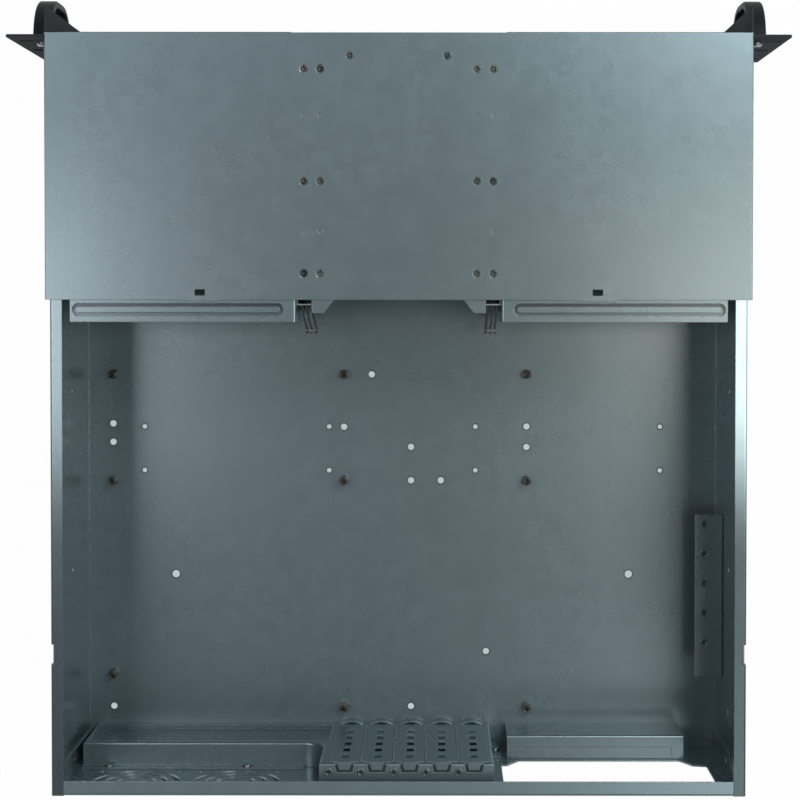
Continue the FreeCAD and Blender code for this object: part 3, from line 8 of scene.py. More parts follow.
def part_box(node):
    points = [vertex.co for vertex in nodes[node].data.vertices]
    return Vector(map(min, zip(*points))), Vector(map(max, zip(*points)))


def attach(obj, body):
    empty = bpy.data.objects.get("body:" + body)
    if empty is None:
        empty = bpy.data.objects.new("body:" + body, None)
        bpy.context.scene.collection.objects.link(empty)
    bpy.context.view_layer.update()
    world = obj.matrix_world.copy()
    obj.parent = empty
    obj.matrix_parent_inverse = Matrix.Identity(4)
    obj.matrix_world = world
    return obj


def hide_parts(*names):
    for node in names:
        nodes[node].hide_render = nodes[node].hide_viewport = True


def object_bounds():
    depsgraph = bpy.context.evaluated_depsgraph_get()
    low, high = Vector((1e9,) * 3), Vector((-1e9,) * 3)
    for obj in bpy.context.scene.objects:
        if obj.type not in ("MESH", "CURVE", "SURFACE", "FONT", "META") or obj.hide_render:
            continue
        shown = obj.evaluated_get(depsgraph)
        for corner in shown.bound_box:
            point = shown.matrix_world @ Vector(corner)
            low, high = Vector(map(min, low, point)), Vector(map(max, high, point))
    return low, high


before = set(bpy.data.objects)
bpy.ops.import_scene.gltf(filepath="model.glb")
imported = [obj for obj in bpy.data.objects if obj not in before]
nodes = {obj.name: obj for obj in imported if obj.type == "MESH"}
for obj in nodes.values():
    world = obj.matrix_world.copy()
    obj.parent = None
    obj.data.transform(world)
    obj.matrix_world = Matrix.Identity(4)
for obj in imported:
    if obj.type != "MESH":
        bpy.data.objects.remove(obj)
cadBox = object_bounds()
print("stage: frame loaded")


# building blocks for node trees
def newNode(tree, kind, settings=None, **inputs):
    node = tree.nodes.new(kind)
    for name, value in (settings or {}).items():
        setattr(node, name, value)
    for name, value in inputs.items():
        node.inputs[name].default_value = value
    return node


def join(tree, source, target):
    tree.links.new(source, target)


def feed(tree, socket, value):
    if isinstance(value, bpy.types.NodeSocket):
        join(tree, value, socket)
    elif isinstance(value, tuple) and len(value) == 3 and socket.type == "RGBA":
        socket.default_value = (*value, 1.0)
    elif value is not None:
        socket.default_value = value


def maths(tree, operation, first, second=None, third=None, clamp=False):
    node = newNode(tree, "ShaderNodeMath", {"operation": operation, "use_clamp": clamp})
    for socket, value in zip(node.inputs, (first, second, third)):
        feed(tree, socket, value)
    return node.outputs[0]


def around(tree, value, contrast):
    # turns a 0 to 1 pattern into a factor close to 1
    return maths(tree, "MULTIPLY_ADD", value, contrast, 1.0 - contrast / 2)


def rangeOf(tree, value, low, high, toLow=0.0, toHigh=1.0, smooth=False):
    kind = "SMOOTHSTEP" if smooth else "LINEAR"
    node = newNode(tree, "ShaderNodeMapRange", {"interpolation_type": kind})
    feed(tree, node.inputs["Value"], value)
    ends = {"From Min": low, "From Max": high, "To Min": toLow, "To Max": toHigh}
    for name, number in ends.items():
        feed(tree, node.inputs[name], number)
    return node.outputs["Result"]


def boxMask(tree, x, y, acrossRange, alongRange, soft):
    # 1 inside a rectangle, fading to 0 over a soft border
    mask = None
    for value, (low, high) in ((x, acrossRange), (y, alongRange)):
        for outside, inside in ((low - soft, low), (high + soft, high)):
            side = rangeOf(tree, value, outside, inside)
            mask = side if mask is None else maths(tree, "MULTIPLY", mask, side)
    return mask


def mixColour(tree, factor, first, second, blend="MIX"):
    node = newNode(tree, "ShaderNodeMix", {"data_type": "RGBA", "blend_type": blend})
    feed(tree, node.inputs[0], factor)
    feed(tree, node.inputs[6], first)
    feed(tree, node.inputs[7], second)
    return node.outputs[2]


def noise(tree, place, scale, detail, roughness=0.5):
    node = newNode(tree, "ShaderNodeTexNoise", Detail=detail, Roughness=roughness)
    join(tree, place, node.inputs["Vector"])
    feed(tree, node.inputs["Scale"], scale)
    return node.outputs["Fac"]


def objectPlace(tree):
    return newNode(tree, "ShaderNodeTexCoord").outputs["Object"]


def addSocket(tree, way, label, kind, value=None):
    socket = tree.interface.new_socket(name=label, in_out=way, socket_type="NodeSocket" + kind)
    if value is not None:
        socket.default_value = value


def newGroup(name, inputs, outputs):
    group = bpy.data.node_groups.new(name, "ShaderNodeTree")
    for label, kind, value in inputs:
        addSocket(group, "INPUT", label, kind, value)
    for label, kind in outputs:
        addSocket(group, "OUTPUT", label, kind)
    return group, group.nodes.new("NodeGroupInput"), group.nodes.new("NodeGroupOutput")


# effects that several finishes share
effects = {
    "crystalSize": 0.006,
    "wobbleScale": 90.0,
    "wobble": 0.004,
    "cloudScale": 60.0,
    "grainScale": 900.0,
    "lineScale": 420.0,
    "bandScale": 14.0,
    "bevelRadius": 0.0006,
    "bevelSamples": 4,
    "edgeTurn": (0.995, 0.86),
    "edgeBreakup": 250.0,
    "edgeGaps": (0.35, 0.65),
    "smearScale": 7.0,
    "smearRoughness": 0.45,
    "scratchScale": 60.0,
    "scratchTurn": 0.6,
    "scratchStretch": 0.05,
    "scratchRange": (0.70, 0.80),
    "speckScale": 110.0,
    "speckShare": 0.93,
    "speckEdge": (0.10, 0.04),
}


def makeSpangleGroup():
    # crystals of the zinc coat: cells of slightly different tone, softened by noise
    group, given, put = newGroup(
        "zincSpangle",
        [("Size", "Float", effects["crystalSize"]), ("Softness", "Float", 0.5)],
        [("Tone", "Float"), ("Height", "Float")],
    )
    place = objectPlace(group)
    scale = maths(group, "DIVIDE", 1.0, given.outputs["Size"])
    wobble = newNode(group, "ShaderNodeTexNoise", Scale=effects["wobbleScale"], Detail=2.0)
    join(group, place, wobble.inputs["Vector"])
    shift = newNode(group, "ShaderNodeVectorMath", {"operation": "MULTIPLY_ADD"})
    join(group, wobble.outputs["Color"], shift.inputs[0])
    shift.inputs[1].default_value = (effects["wobble"],) * 3
    join(group, place, shift.inputs[2])
    cells = newNode(group, "ShaderNodeTexVoronoi", {"feature": "F1"})
    join(group, shift.outputs[0], cells.inputs["Vector"])
    join(group, scale, cells.inputs["Scale"])
    split = newNode(group, "ShaderNodeSeparateColor")
    join(group, cells.outputs["Color"], split.inputs[0])
    cloud = noise(group, place, effects["cloudScale"], 4.0)
    blend = newNode(group, "ShaderNodeMix", {"data_type": "FLOAT"})
    join(group, given.outputs["Softness"], blend.inputs[0])
    join(group, split.outputs[0], blend.inputs[2])
    join(group, cloud, blend.inputs[3])
    join(group, blend.outputs[0], put.inputs["Tone"])
    join(group, noise(group, place, effects["grainScale"], 2.0), put.inputs["Height"])
    return group


def makeRollingGroup():
    # fine lines left by the mill, along the sheet, and broad bands across it
    group, given, put = newGroup(
        "rollingLines",
        [("Line Scale", "Float", effects["lineScale"]), ("Stretch", "Vector", (1.0, 0.03, 1.0))],
        [("Lines", "Float"), ("Bands", "Float")],
    )
    place = objectPlace(group)
    fine = newNode(group, "ShaderNodeVectorMath", {"operation": "MULTIPLY"})
    join(group, place, fine.inputs[0])
    join(group, given.outputs["Stretch"], fine.inputs[1])
    lines = noise(group, fine.outputs[0], given.outputs["Line Scale"], 3.0, 0.6)
    join(group, lines, put.inputs["Lines"])
    join(group, noise(group, fine.outputs[0], effects["bandScale"], 2.0), put.inputs["Bands"])
    return group


def makeEdgeGroup():
    # rounds sharp edges for the light, and marks where handling has polished them
    group, given, put = newGroup(
        "edgeWear",
        [("Radius", "Float", effects["bevelRadius"]), ("Breakup", "Float", effects["edgeBreakup"]),
         ("Amount", "Float", 1.0)],
        [("Mask", "Float"), ("Normal", "Vector")],
    )
    place = objectPlace(group)
    bevel = newNode(group, "ShaderNodeBevel", {"samples": effects["bevelSamples"]})
    join(group, given.outputs["Radius"], bevel.inputs["Radius"])
    flat = newNode(group, "ShaderNodeNewGeometry").outputs["Normal"]
    dot = newNode(group, "ShaderNodeVectorMath", {"operation": "DOT_PRODUCT"})
    join(group, bevel.outputs["Normal"], dot.inputs[0])
    join(group, flat, dot.inputs[1])
    edge = rangeOf(group, dot.outputs["Value"], *effects["edgeTurn"])
    broken = noise(group, place, given.outputs["Breakup"], 4.0)
    worn = maths(group, "MULTIPLY", edge, rangeOf(group, broken, *effects["edgeGaps"]))
    worn = maths(group, "MULTIPLY", worn, given.outputs["Amount"], clamp=True)
    join(group, worn, put.inputs["Mask"])
    join(group, bevel.outputs["Normal"], put.inputs["Normal"])
    return group


def makeHandlingGroup():
    # smears, oil film and fine scratches from handling
    group, given, put = newGroup(
        "handlingMarks",
        [("Smear Scale", "Float", effects["smearScale"]),
         ("Scratch Scale", "Float", effects["scratchScale"])],
        [("Smears", "Float"), ("Scratches", "Float"), ("Specks", "Float")],
    )
    place = objectPlace(group)
    smears = noise(group, place, given.outputs["Smear Scale"], 2.0, effects["smearRoughness"])
    join(group, smears, put.inputs["Smears"])
    turned = newNode(group, "ShaderNodeMapping", Rotation=(0.0, 0.0, effects["scratchTurn"]),
                     Scale=(1.0, effects["scratchStretch"], 1.0))
    join(group, place, turned.inputs["Vector"])
    lines = noise(group, turned.outputs["Vector"], given.outputs["Scratch Scale"], 6.0, 0.7)
    join(group, rangeOf(group, lines, *effects["scratchRange"]), put.inputs["Scratches"])
    dots = newNode(group, "ShaderNodeTexVoronoi", {"feature": "F1"}, Scale=effects["speckScale"])
    join(group, place, dots.inputs["Vector"])
    size = newNode(group, "ShaderNodeSeparateColor")
    join(group, dots.outputs["Color"], size.inputs[0])
    rare = maths(group, "GREATER_THAN", size.outputs[1], effects["speckShare"])
    small = rangeOf(group, dots.outputs["Distance"], *effects["speckEdge"])
    join(group, maths(group, "MULTIPLY", small, rare), put.inputs["Specks"])
    return group


spangleGroup = makeSpangleGroup()
rollingGroup = makeRollingGroup()
edgeGroup = makeEdgeGroup()
handlingGroup = makeHandlingGroup()


def useGroup(tree, group, **values):
    node = newNode(tree, "ShaderNodeGroup", {"node_tree": group})
    for name, value in values.items():
        feed(tree, node.inputs[name.replace("_", " ")], value)
    return node.outputs


def newMaterial(name):
    material = bpy.data.materials.new(name)
    material.use_nodes = True
    tree = material.node_tree
    shader = tree.nodes["Principled BSDF"]
    return material, tree, shader


def bump(tree, height, distance, normal, strength):
    node = newNode(tree, "ShaderNodeBump", Strength=strength, Distance=distance)
    join(tree, height, node.inputs["Height"])
    join(tree, normal, node.inputs["Normal"])
    return node.outputs["Normal"]


def scaled(tree, base, factor):
    # the colour times one number
    grey = newNode(tree, "ShaderNodeCombineColor")
    for socket in grey.inputs:
        join(tree, factor, socket)
    return mixColour(tree, 1.0, base, grey.outputs[0], "MULTIPLY")


# painted shade in the pressed groove round each bead, darker on the side towards the front
beadGrooveShade = {
    "across": 0.13605,
    "along": -0.05245,
    "halfLength": 0.0612,
    "innerEdge": (0.0015, 0.0022),
    "outerEdge": (0.00415, 0.00335),
    "sideChange": 0.002,
    "rearGrime": 0.45,
    "frontGrime": 0.85,
}


def grooveShadeMask(tree, place, groove):
    x = maths(tree, "ABSOLUTE", place.outputs["X"])
    x = maths(tree, "ABSOLUTE", maths(tree, "SUBTRACT", x, groove["across"]))
    x = maths(tree, "MAXIMUM", maths(tree, "SUBTRACT", x, groove["halfLength"]), 0.0)
    y = maths(tree, "SUBTRACT", place.outputs["Y"], groove["along"])
    squares = maths(tree, "ADD", maths(tree, "MULTIPLY", x, x), maths(tree, "MULTIPLY", y, y))
    far = maths(tree, "SQRT", squares)
    inner = rangeOf(tree, far, *groove["innerEdge"], smooth=True)
    outer = rangeOf(tree, far, *groove["outerEdge"], smooth=True)
    change = groove["sideChange"]
    grooveShade = rangeOf(tree, y, change, -change, groove["rearGrime"], groove["frontGrime"])
    return maths(tree, "MULTIPLY", maths(tree, "MULTIPLY", inner, outer), grooveShade)


# galvanised sheet: blue-grey zinc, faint crystals, mill lines, polished edges, painted highlight and
# shade on the top rims, painted shade round the beads
def makeZincSheet(name, look):
    material, tree, shader = newMaterial(name)
    spangle = useGroup(tree, spangleGroup, Size=look["crystal"], Softness=look["softness"])
    rolling = useGroup(tree, rollingGroup, Stretch=look["rolled"])
    edge = useGroup(tree, edgeGroup, Radius=look["edgeRadius"], Amount=look["wear"])
    marks = useGroup(tree, handlingGroup, Smear_Scale=look["smearScale"])
    tone = around(tree, spangle["Tone"], look["crystalContrast"])
    lines = around(tree, rolling["Lines"], look["lineContrast"])
    bands = around(tree, rolling["Bands"], look["bandContrast"])
    shade = maths(tree, "MULTIPLY", maths(tree, "MULTIPLY", tone, lines), bands)
    smear = rangeOf(tree, marks["Smears"], *look["smearRange"])
    base = mixColour(tree, smear, look["colour"], look["film"])
    base = scaled(tree, base, shade)
    scratches = maths(tree, "MULTIPLY", marks["Scratches"], look["scratched"])
    base = mixColour(tree, scratches, base, look["bright"])
    specks = maths(tree, "MULTIPLY", marks["Specks"], look["specked"])
    base = mixColour(tree, specks, base, look["speck"])
    base = mixColour(tree, edge["Mask"], base, look["bright"])
    place = newNode(tree, "ShaderNodeSeparateXYZ")
    join(tree, objectPlace(tree), place.inputs[0])
    # painted highlight and shade: parts above rimHeight are made lighter or darker by place; on the
    # tray the right rim is painted lightest forward of the middle and the rims are painted darker
    # towards the rear
    high = rangeOf(tree, place.outputs["Z"], look["rimHeight"] - look["rimFade"], look["rimHeight"])
    rightRim = rangeOf(tree, place.outputs["X"], *look["rightRim"])
    middle = rangeOf(tree, place.outputs["Y"], look["polishRear"], look["polishFront"], smooth=True)
    paintedHighlight = maths(tree, "MULTIPLY_ADD", rightRim, look["rimPolish"], look["rimLift"])
    paintedHighlight = maths(tree, "MULTIPLY", paintedHighlight, middle)
    gain = maths(tree, "ADD", paintedHighlight, look["rimGain"])
    base = scaled(tree, base, maths(tree, "MULTIPLY_ADD", high, gain, 1.0))
    # painted shade: the groove round each bead is darkened with the speck colour, more on its front
    # side
    if look["groove"]:
        base = mixColour(tree, grooveShadeMask(tree, place, look["groove"]), base, look["speck"])
    join(tree, base, shader.inputs["Base Color"])
    shader.inputs["Metallic"].default_value = look["metal"]
    rough = rangeOf(tree, smear, 0.0, 1.0, look["rough"] - look["roughSpan"], look["rough"])
    rough = maths(tree, "MULTIPLY_ADD", spangle["Tone"], look["roughSpan"], rough)
    join(tree, rough, shader.inputs["Roughness"])
    strength = look["bumpStrength"]
    normal = bump(tree, spangle["Height"], look["grainHeight"], edge["Normal"], strength)
    normal = bump(tree, rolling["Lines"], look["grainHeight"], normal, strength)
    wave = noise(tree, objectPlace(tree), look["waveScale"], 0.0)
    join(tree, bump(tree, wave, look["waviness"], normal, strength), shader.inputs["Normal"])
    return material


# what all looks of one kind of finish share
finish = {
    "smearRange": (0.3, 0.7),
    "paint": {"smearScale": 9.0, "specks": 0.5, "wornEdges": 0.6, "smoother": 0.06, "rougher": 0.08,
              "bumpStrength": 0.8},
    "plated": {"smoother": 0.05, "rougher": 0.12, "grainScale": 2500.0, "grainHeight": 0.00001,
               "bumpStrength": 0.5},
    "plastic": {"smearScale": 12.0, "wear": 0.4, "wornEdges": 0.5, "smoother": 0.04, "rougher": 0.06,
                "bumpStrength": 0.7},
    "lens": {"cloudScale": 400.0, "clear": (0.75, 0.80, 0.76), "milky": (0.88, 0.92, 0.90),
             "rough": 0.08, "transmission": 0.7, "refraction": 1.5},
}


def setRoughness(tree, shader, pattern, rough, shared):
    low, high = rough - shared["smoother"], rough + shared["rougher"]
    join(tree, rangeOf(tree, pattern, 0.0, 1.0, low, high), shader.inputs["Roughness"])


# powder coat: fine orange peel over black
def makePaint(name, look):
    material, tree, shader = newMaterial(name)
    shared = finish["paint"]
    edge = useGroup(tree, edgeGroup, Radius=look["edgeRadius"], Amount=look["wear"])
    marks = useGroup(tree, handlingGroup, Smear_Scale=shared["smearScale"])
    place = objectPlace(tree)
    peel = noise(tree, place, look["peelScale"], 2.0)
    smear = rangeOf(tree, marks["Smears"], *finish["smearRange"])
    base = mixColour(tree, smear, look["colour"], look["dusty"])
    for mask, share in ((marks["Specks"], shared["specks"]), (edge["Mask"], shared["wornEdges"])):
        base = mixColour(tree, maths(tree, "MULTIPLY", mask, share), base, look["speck"])
    join(tree, base, shader.inputs["Base Color"])
    setRoughness(tree, shader, smear, look["rough"], shared)
    normal = bump(tree, peel, look["peelHeight"], edge["Normal"], shared["bumpStrength"])
    join(tree, normal, shader.inputs["Normal"])
    shader.inputs["Specular IOR Level"].default_value = look["specular"]
    return material


# turned and plated small metal parts
def makePlated(name, look):
    material, tree, shader = newMaterial(name)
    edge = useGroup(tree, edgeGroup, Radius=look["edgeRadius"], Amount=look["wear"])
    place = objectPlace(tree)
    shared = finish["plated"]
    tarnish = noise(tree, place, look["tarnishScale"], 4.0, 0.6)
    tarnish = rangeOf(tree, tarnish, *finish["smearRange"])
    base = mixColour(tree, tarnish, look["colour"], look["tarnish"])
    base = mixColour(tree, edge["Mask"], base, look["bright"])
    join(tree, base, shader.inputs["Base Color"])
    shader.inputs["Metallic"].default_value = 1.0
    setRoughness(tree, shader, tarnish, look["rough"], shared)
    grain = noise(tree, place, shared["grainScale"], 2.0)
    normal = bump(tree, grain, shared["grainHeight"], edge["Normal"], shared["bumpStrength"])
    join(tree, normal, shader.inputs["Normal"])
    return material


# moulded plastic: spark-eroded grain
def makePlastic(name, look):
    material, tree, shader = newMaterial(name)
    shared = finish["plastic"]
    edge = useGroup(tree, edgeGroup, Radius=look["edgeRadius"], Amount=shared["wear"])
    place = objectPlace(tree)
    grain = noise(tree, place, look["grainScale"], 3.0, 0.6)
    marks = useGroup(tree, handlingGroup, Smear_Scale=shared["smearScale"])
    smear = rangeOf(tree, marks["Smears"], *finish["smearRange"])
    base = mixColour(tree, smear, look["colour"], look["dusty"])
    worn = maths(tree, "MULTIPLY", edge["Mask"], shared["wornEdges"])
    join(tree, mixColour(tree, worn, base, look["shine"]), shader.inputs["Base Color"])
    setRoughness(tree, shader, smear, look["rough"], shared)
    normal = bump(tree, grain, look["grainHeight"], edge["Normal"], shared["bumpStrength"])
    join(tree, normal, shader.inputs["Normal"])
    return material


def makeLens(name):
    material, tree, shader = newMaterial(name)
    place = objectPlace(tree)
    look = finish["lens"]
    cloud = noise(tree, place, look["cloudScale"], 2.0)
    join(tree, mixColour(tree, cloud, look["clear"], look["milky"]), shader.inputs["Base Color"])
    shader.inputs["Roughness"].default_value = look["rough"]
    shader.inputs["Transmission Weight"].default_value = look["transmission"]
    shader.inputs["IOR"].default_value = look["refraction"]
    return material


zincBase = {
    "colour": (0.196, 0.268, 0.296),
    "film": (0.184, 0.254, 0.284),
    "bright": (0.62, 0.72, 0.76),
    "speck": (0.06, 0.07, 0.08),
    "crystal": 0.007,
    "softness": 0.6,
    "crystalContrast": 0.09,
    "lineContrast": 0.08,
    "bandContrast": 0.08,
    "rolled": (1.0, 0.03, 1.0),
    "edgeRadius": 0.0005,
    "wear": 0.8,
    "smearScale": 6.0,
    "scratched": 0.10,
    "metal": 0.75,
    "rough": 0.27,
    "waveScale": 9.0,
    "waviness": 0.00012,
    "rimHeight": 0.1262,
    "rimGain": 0.0,
    "rimPolish": 0.0,
    "rimLift": 0.0,
    "groove": None,
    "rimFade": 0.0008,
    "rightRim": (-0.200, -0.207),
    "smearRange": (0.35, 0.65),
    "specked": 0.2,
    "roughSpan": 0.03,
    "grainHeight": 0.000008,
    "bumpStrength": 0.5,
    "polishRear": 0.10,
    "polishFront": 0.0,
}


def zincLook(**changes):
    look = dict(zincBase)
    look.update(changes)
    return look


def dressNodes():
    zinc = {
        "roofZinc": (zincLook(), ["roof_cover"]),
        # the tray's top rims carry a painted highlight, strongest on the right rim, and painted shade
        # towards the rear
        "trayZinc": (zincLook(rimPolish=1.35, rimLift=0.6, rimGain=-0.4),
                     ["chassis_tray"]),
        "shieldZinc": (zincLook(colour=(0.135, 0.190, 0.212), film=(0.120, 0.172, 0.195)),
                       ["io_shield"]),
        # the rear panel's top edge is painted lighter, a painted highlight
        "rearZinc": (zincLook(rolled=(0.03, 1.0, 1.0), rimGain=0.3),
                     ["rear_panel", "recess_panel", "psu_shelf", "psu_side_rail"]
                     + ["slot_cover_%d" % number for number in range(1, 6)]),
        "bayZinc": (zincLook(groove=beadGrooveShade),
                    ["bay_bracket_left", "bay_bracket_right", "centre_cage", "roof_channel_left",
                     "roof_channel_right"]),
    }
    paints = {
        "blackCoat": ({"colour": (0.022, 0.027, 0.033), "dusty": (0.035, 0.042, 0.050),
                       "speck": (0.16, 0.17, 0.18), "peelScale": 1400.0, "peelHeight": 0.00006,
                       "rough": 0.68, "specular": 0.05, "edgeRadius": 0.0005, "wear": 0.5},
                      ["front_panel", "rack_ear_left", "rack_ear_right"]),
        "handleCoat": ({"colour": (0.012, 0.016, 0.020), "dusty": (0.022, 0.030, 0.034),
                        "speck": (0.12, 0.14, 0.15), "peelScale": 900.0, "peelHeight": 0.00003,
                        "rough": 0.46, "specular": 0.08, "edgeRadius": 0.0004, "wear": 0.3},
                       ["handle_left", "handle_right"]),
    }
    plated = {
        "zincScrew": ({"colour": (0.42, 0.45, 0.46), "tarnish": (0.20, 0.20, 0.20),
                       "bright": (0.8, 0.82, 0.82), "tarnishScale": 180.0, "rough": 0.32,
                       "edgeRadius": 0.0002, "wear": 1.0},
                      ["handle_screws", "ear_screws", "rivets", "recess_screws"]),
        "darkScrew": ({"colour": (0.038, 0.050, 0.048), "tarnish": (0.125, 0.145, 0.140),
                       "bright": (0.40, 0.43, 0.42), "tarnishScale": 55.0, "rough": 0.34,
                       "edgeRadius": 0.0002, "wear": 0.35},
                      ["roof_screws"]),
        "springSteel": ({"colour": (0.46, 0.50, 0.50), "tarnish": (0.20, 0.22, 0.22),
                         "bright": (0.85, 0.88, 0.88), "tarnishScale": 160.0, "rough": 0.36,
                         "edgeRadius": 0.0002, "wear": 1.0},
                        ["latch_spring_left", "latch_spring_right"]),
        "nickelBrass": ({"colour": (0.165, 0.158, 0.138), "tarnish": (0.085, 0.080, 0.068),
                         "bright": (0.55, 0.55, 0.50), "tarnishScale": 220.0, "rough": 0.30,
                         "edgeRadius": 0.0003, "wear": 0.6},
                        ["standoffs"]),
    }
    plastics = {
        "blackMoulding": ({"colour": (0.020, 0.022, 0.024), "dusty": (0.032, 0.035, 0.038),
                           "shine": (0.09, 0.095, 0.10), "grainScale": 1600.0, "grainHeight": 0.00012,
                           "rough": 0.52, "edgeRadius": 0.0004},
                          ["drive_cover", "power_switch", "reset_switch"]
                          + ["bay_cover_%s_%d" % (side, number) for side in ("left", "right")
                             for number in (1, 2, 3)]),
        "greyMoulding": ({"colour": (0.13, 0.14, 0.15), "dusty": (0.17, 0.18, 0.19),
                          "shine": (0.3, 0.3, 0.3), "grainScale": 1600.0, "grainHeight": 0.00008,
                          "rough": 0.42, "edgeRadius": 0.0003}, ["power_button", "reset_button"]),
    }
    made = {}
    kinds = ((zinc, makeZincSheet), (paints, makePaint), (plated, makePlated), (plastics, makePlastic))
    for looks, maker in kinds:
        for name, (look, members) in looks.items():
            made[name] = maker(name, look)
            for member in members:
                dress(nodes[member], made[name])
    made["cutEdge"] = makePlated("cutEdge", {
        "colour": (0.060, 0.080, 0.085), "tarnish": (0.030, 0.040, 0.044),
        "bright": (0.30, 0.36, 0.38), "tarnishScale": 300.0, "rough": 0.40,
        "edgeRadius": 0.0001, "wear": 0.3})
    made["drawnEdge"] = makePlated("drawnEdge", {
        "colour": (0.22, 0.30, 0.33), "tarnish": (0.14, 0.20, 0.22), "bright": (0.55, 0.62, 0.64),
        "tarnishScale": 260.0, "rough": 0.28, "edgeRadius": 0.0002, "wear": 0.6})
    made["clearLens"] = makeLens("clearLens")
    dress(nodes["indicator_lenses"], made["clearLens"])
    return made


def dress(item, material):
    if not item.data.materials:
        item.data.materials.append(material)
    for index in range(len(item.data.materials)):
        item.data.materials[index] = material


materials = dressNodes()
print("stage: finishes")


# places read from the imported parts
holeSearch = {
    "mergeWithin": 1e-6,
    "levelWithin": 2e-5,
    "wallSlope": 0.1,
    "sheetSlope": 0.9,
    "fewestCorners": 8,
    "outOfRound": 0.1,
}


def mergedCopy(name):
    mesh = bmesh.new()
    mesh.from_mesh(nodes[name].data)
    bmesh.ops.remove_doubles(mesh, verts=mesh.verts, dist=holeSearch["mergeWithin"])
    return mesh


def looseParts(name):
    # lowest and highest corner of each separate solid in a node
    mesh = mergedCopy(name)
    waiting, found = set(mesh.verts), []
    while waiting:
        reached, edge = set(), [waiting.pop()]
        while edge:
            vertex = edge.pop()
            reached.add(vertex)
            near = [link.other_vert(vertex) for link in vertex.link_edges]
            edge += [other for other in near if other in waiting]
            waiting -= set(near)
        low = [min(vertex.co[axis] for vertex in reached) for axis in range(3)]
        high = [max(vertex.co[axis] for vertex in reached) for axis in range(3)]
        found.append((low, high))
    mesh.free()
    return sorted(found)


def roundHoles(name, height, largest):
    # centre and radius of each round hole in a level sheet whose top is at height
    mesh = mergedCopy(name)
    rim = {}
    for edge in mesh.edges:
        level = all(abs(vertex.co.z - height) < holeSearch["levelWithin"] for vertex in edge.verts)
        slopes = sorted(abs(face.normal.z) for face in edge.link_faces)
        if not level or len(slopes) != 2:
            continue
        if slopes[0] < holeSearch["wallSlope"] and slopes[1] > holeSearch["sheetSlope"]:
            for vertex in edge.verts:
                rim.setdefault(vertex, []).append(edge.other_vert(vertex))
    waiting, holes = set(rim), []
    while waiting:
        loop, edge = set(), [waiting.pop()]
        while edge:
            vertex = edge.pop()
            loop.add(vertex)
            near = [other for other in rim[vertex] if other in waiting]
            edge += near
            waiting -= set(near)
        wide, deep = [[vertex.co[axis] for vertex in loop] for axis in (0, 1)]
        size, other = max(wide) - min(wide), max(deep) - min(deep)
        even = abs(size - other) < holeSearch["outOfRound"] * size
        if len(loop) >= holeSearch["fewestCorners"] and size < largest and even:
            holes.append(((max(wide) + min(wide)) / 2, (max(deep) + min(deep)) / 2, size / 2))
    mesh.free()
    return sorted(holes)


# Geometry Nodes that set small parts and rims on the places found
def newPointTree(name, inputs):
    tree = bpy.data.node_groups.new(name, "GeometryNodeTree")
    addSocket(tree, "INPUT", "Points", "Geometry")
    for label, kind, value in inputs:
        addSocket(tree, "INPUT", label, kind, value)
    addSocket(tree, "OUTPUT", "Result", "Geometry")
    given = tree.nodes.new("NodeGroupInput").outputs
    return tree, given, tree.nodes.new("NodeGroupOutput").inputs["Result"]


def finishTree(tree, shape, material, result, smooth=True):
    realized = newNode(tree, "GeometryNodeRealizeInstances")
    shade = newNode(tree, "GeometryNodeSetShadeSmooth")
    dressed = newNode(tree, "GeometryNodeSetMaterial")
    feed(tree, shade.inputs["Shade Smooth"], smooth)
    join(tree, shape, realized.inputs[0])
    join(tree, realized.outputs[0], shade.inputs[0])
    join(tree, shade.outputs[0], dressed.inputs["Geometry"])
    join(tree, material, dressed.inputs["Material"])
    join(tree, dressed.outputs[0], result)


rimDefaults = {"section": 0.0003, "turns": 1, "pitch": 0.0005, "resolution": 28, "tubeSides": 8}
fullTurn = 6.2832


def makeRimTree():
    # rings round each point, one or a stack of them, as the rolled edge or the thread of a hole
    tree, given, result = newPointTree(
        "holeRims",
        [("Section", "Float", rimDefaults["section"]), ("Turns", "Int", rimDefaults["turns"]),
         ("Pitch", "Float", rimDefaults["pitch"]), ("Resolution", "Int", rimDefaults["resolution"]),
         ("Material", "Material", None)],
    )
    step = newNode(tree, "ShaderNodeCombineXYZ")
    join(tree, maths(tree, "MULTIPLY", given["Pitch"], -1.0), step.inputs["Z"])
    stack = newNode(tree, "GeometryNodeMeshLine")
    join(tree, given["Turns"], stack.inputs["Count"])
    join(tree, step.outputs[0], stack.inputs["Offset"])
    levels = newNode(tree, "GeometryNodeInstanceOnPoints")
    join(tree, given["Points"], levels.inputs["Points"])
    join(tree, stack.outputs[0], levels.inputs["Instance"])
    places = newNode(tree, "GeometryNodeRealizeInstances")
    join(tree, levels.outputs[0], places.inputs[0])
    circle = newNode(tree, "GeometryNodeCurvePrimitiveCircle", Radius=1.0)
    join(tree, given["Resolution"], circle.inputs["Resolution"])
    radius = newNode(tree, "GeometryNodeInputNamedAttribute", {"data_type": "FLOAT"}, Name="radius")
    rings = newNode(tree, "GeometryNodeInstanceOnPoints")
    join(tree, places.outputs[0], rings.inputs["Points"])
    join(tree, circle.outputs[0], rings.inputs["Instance"])
    join(tree, radius.outputs["Attribute"], rings.inputs["Scale"])
    loops = newNode(tree, "GeometryNodeRealizeInstances")
    join(tree, rings.outputs[0], loops.inputs[0])
    section = newNode(tree, "GeometryNodeCurvePrimitiveCircle", Resolution=rimDefaults["tubeSides"])
    join(tree, given["Section"], section.inputs["Radius"])
    tube = newNode(tree, "GeometryNodeCurveToMesh")
    join(tree, loops.outputs[0], tube.inputs["Curve"])
    join(tree, section.outputs[0], tube.inputs["Profile Curve"])
    finishTree(tree, tube.outputs[0], given["Material"], result)
    return tree


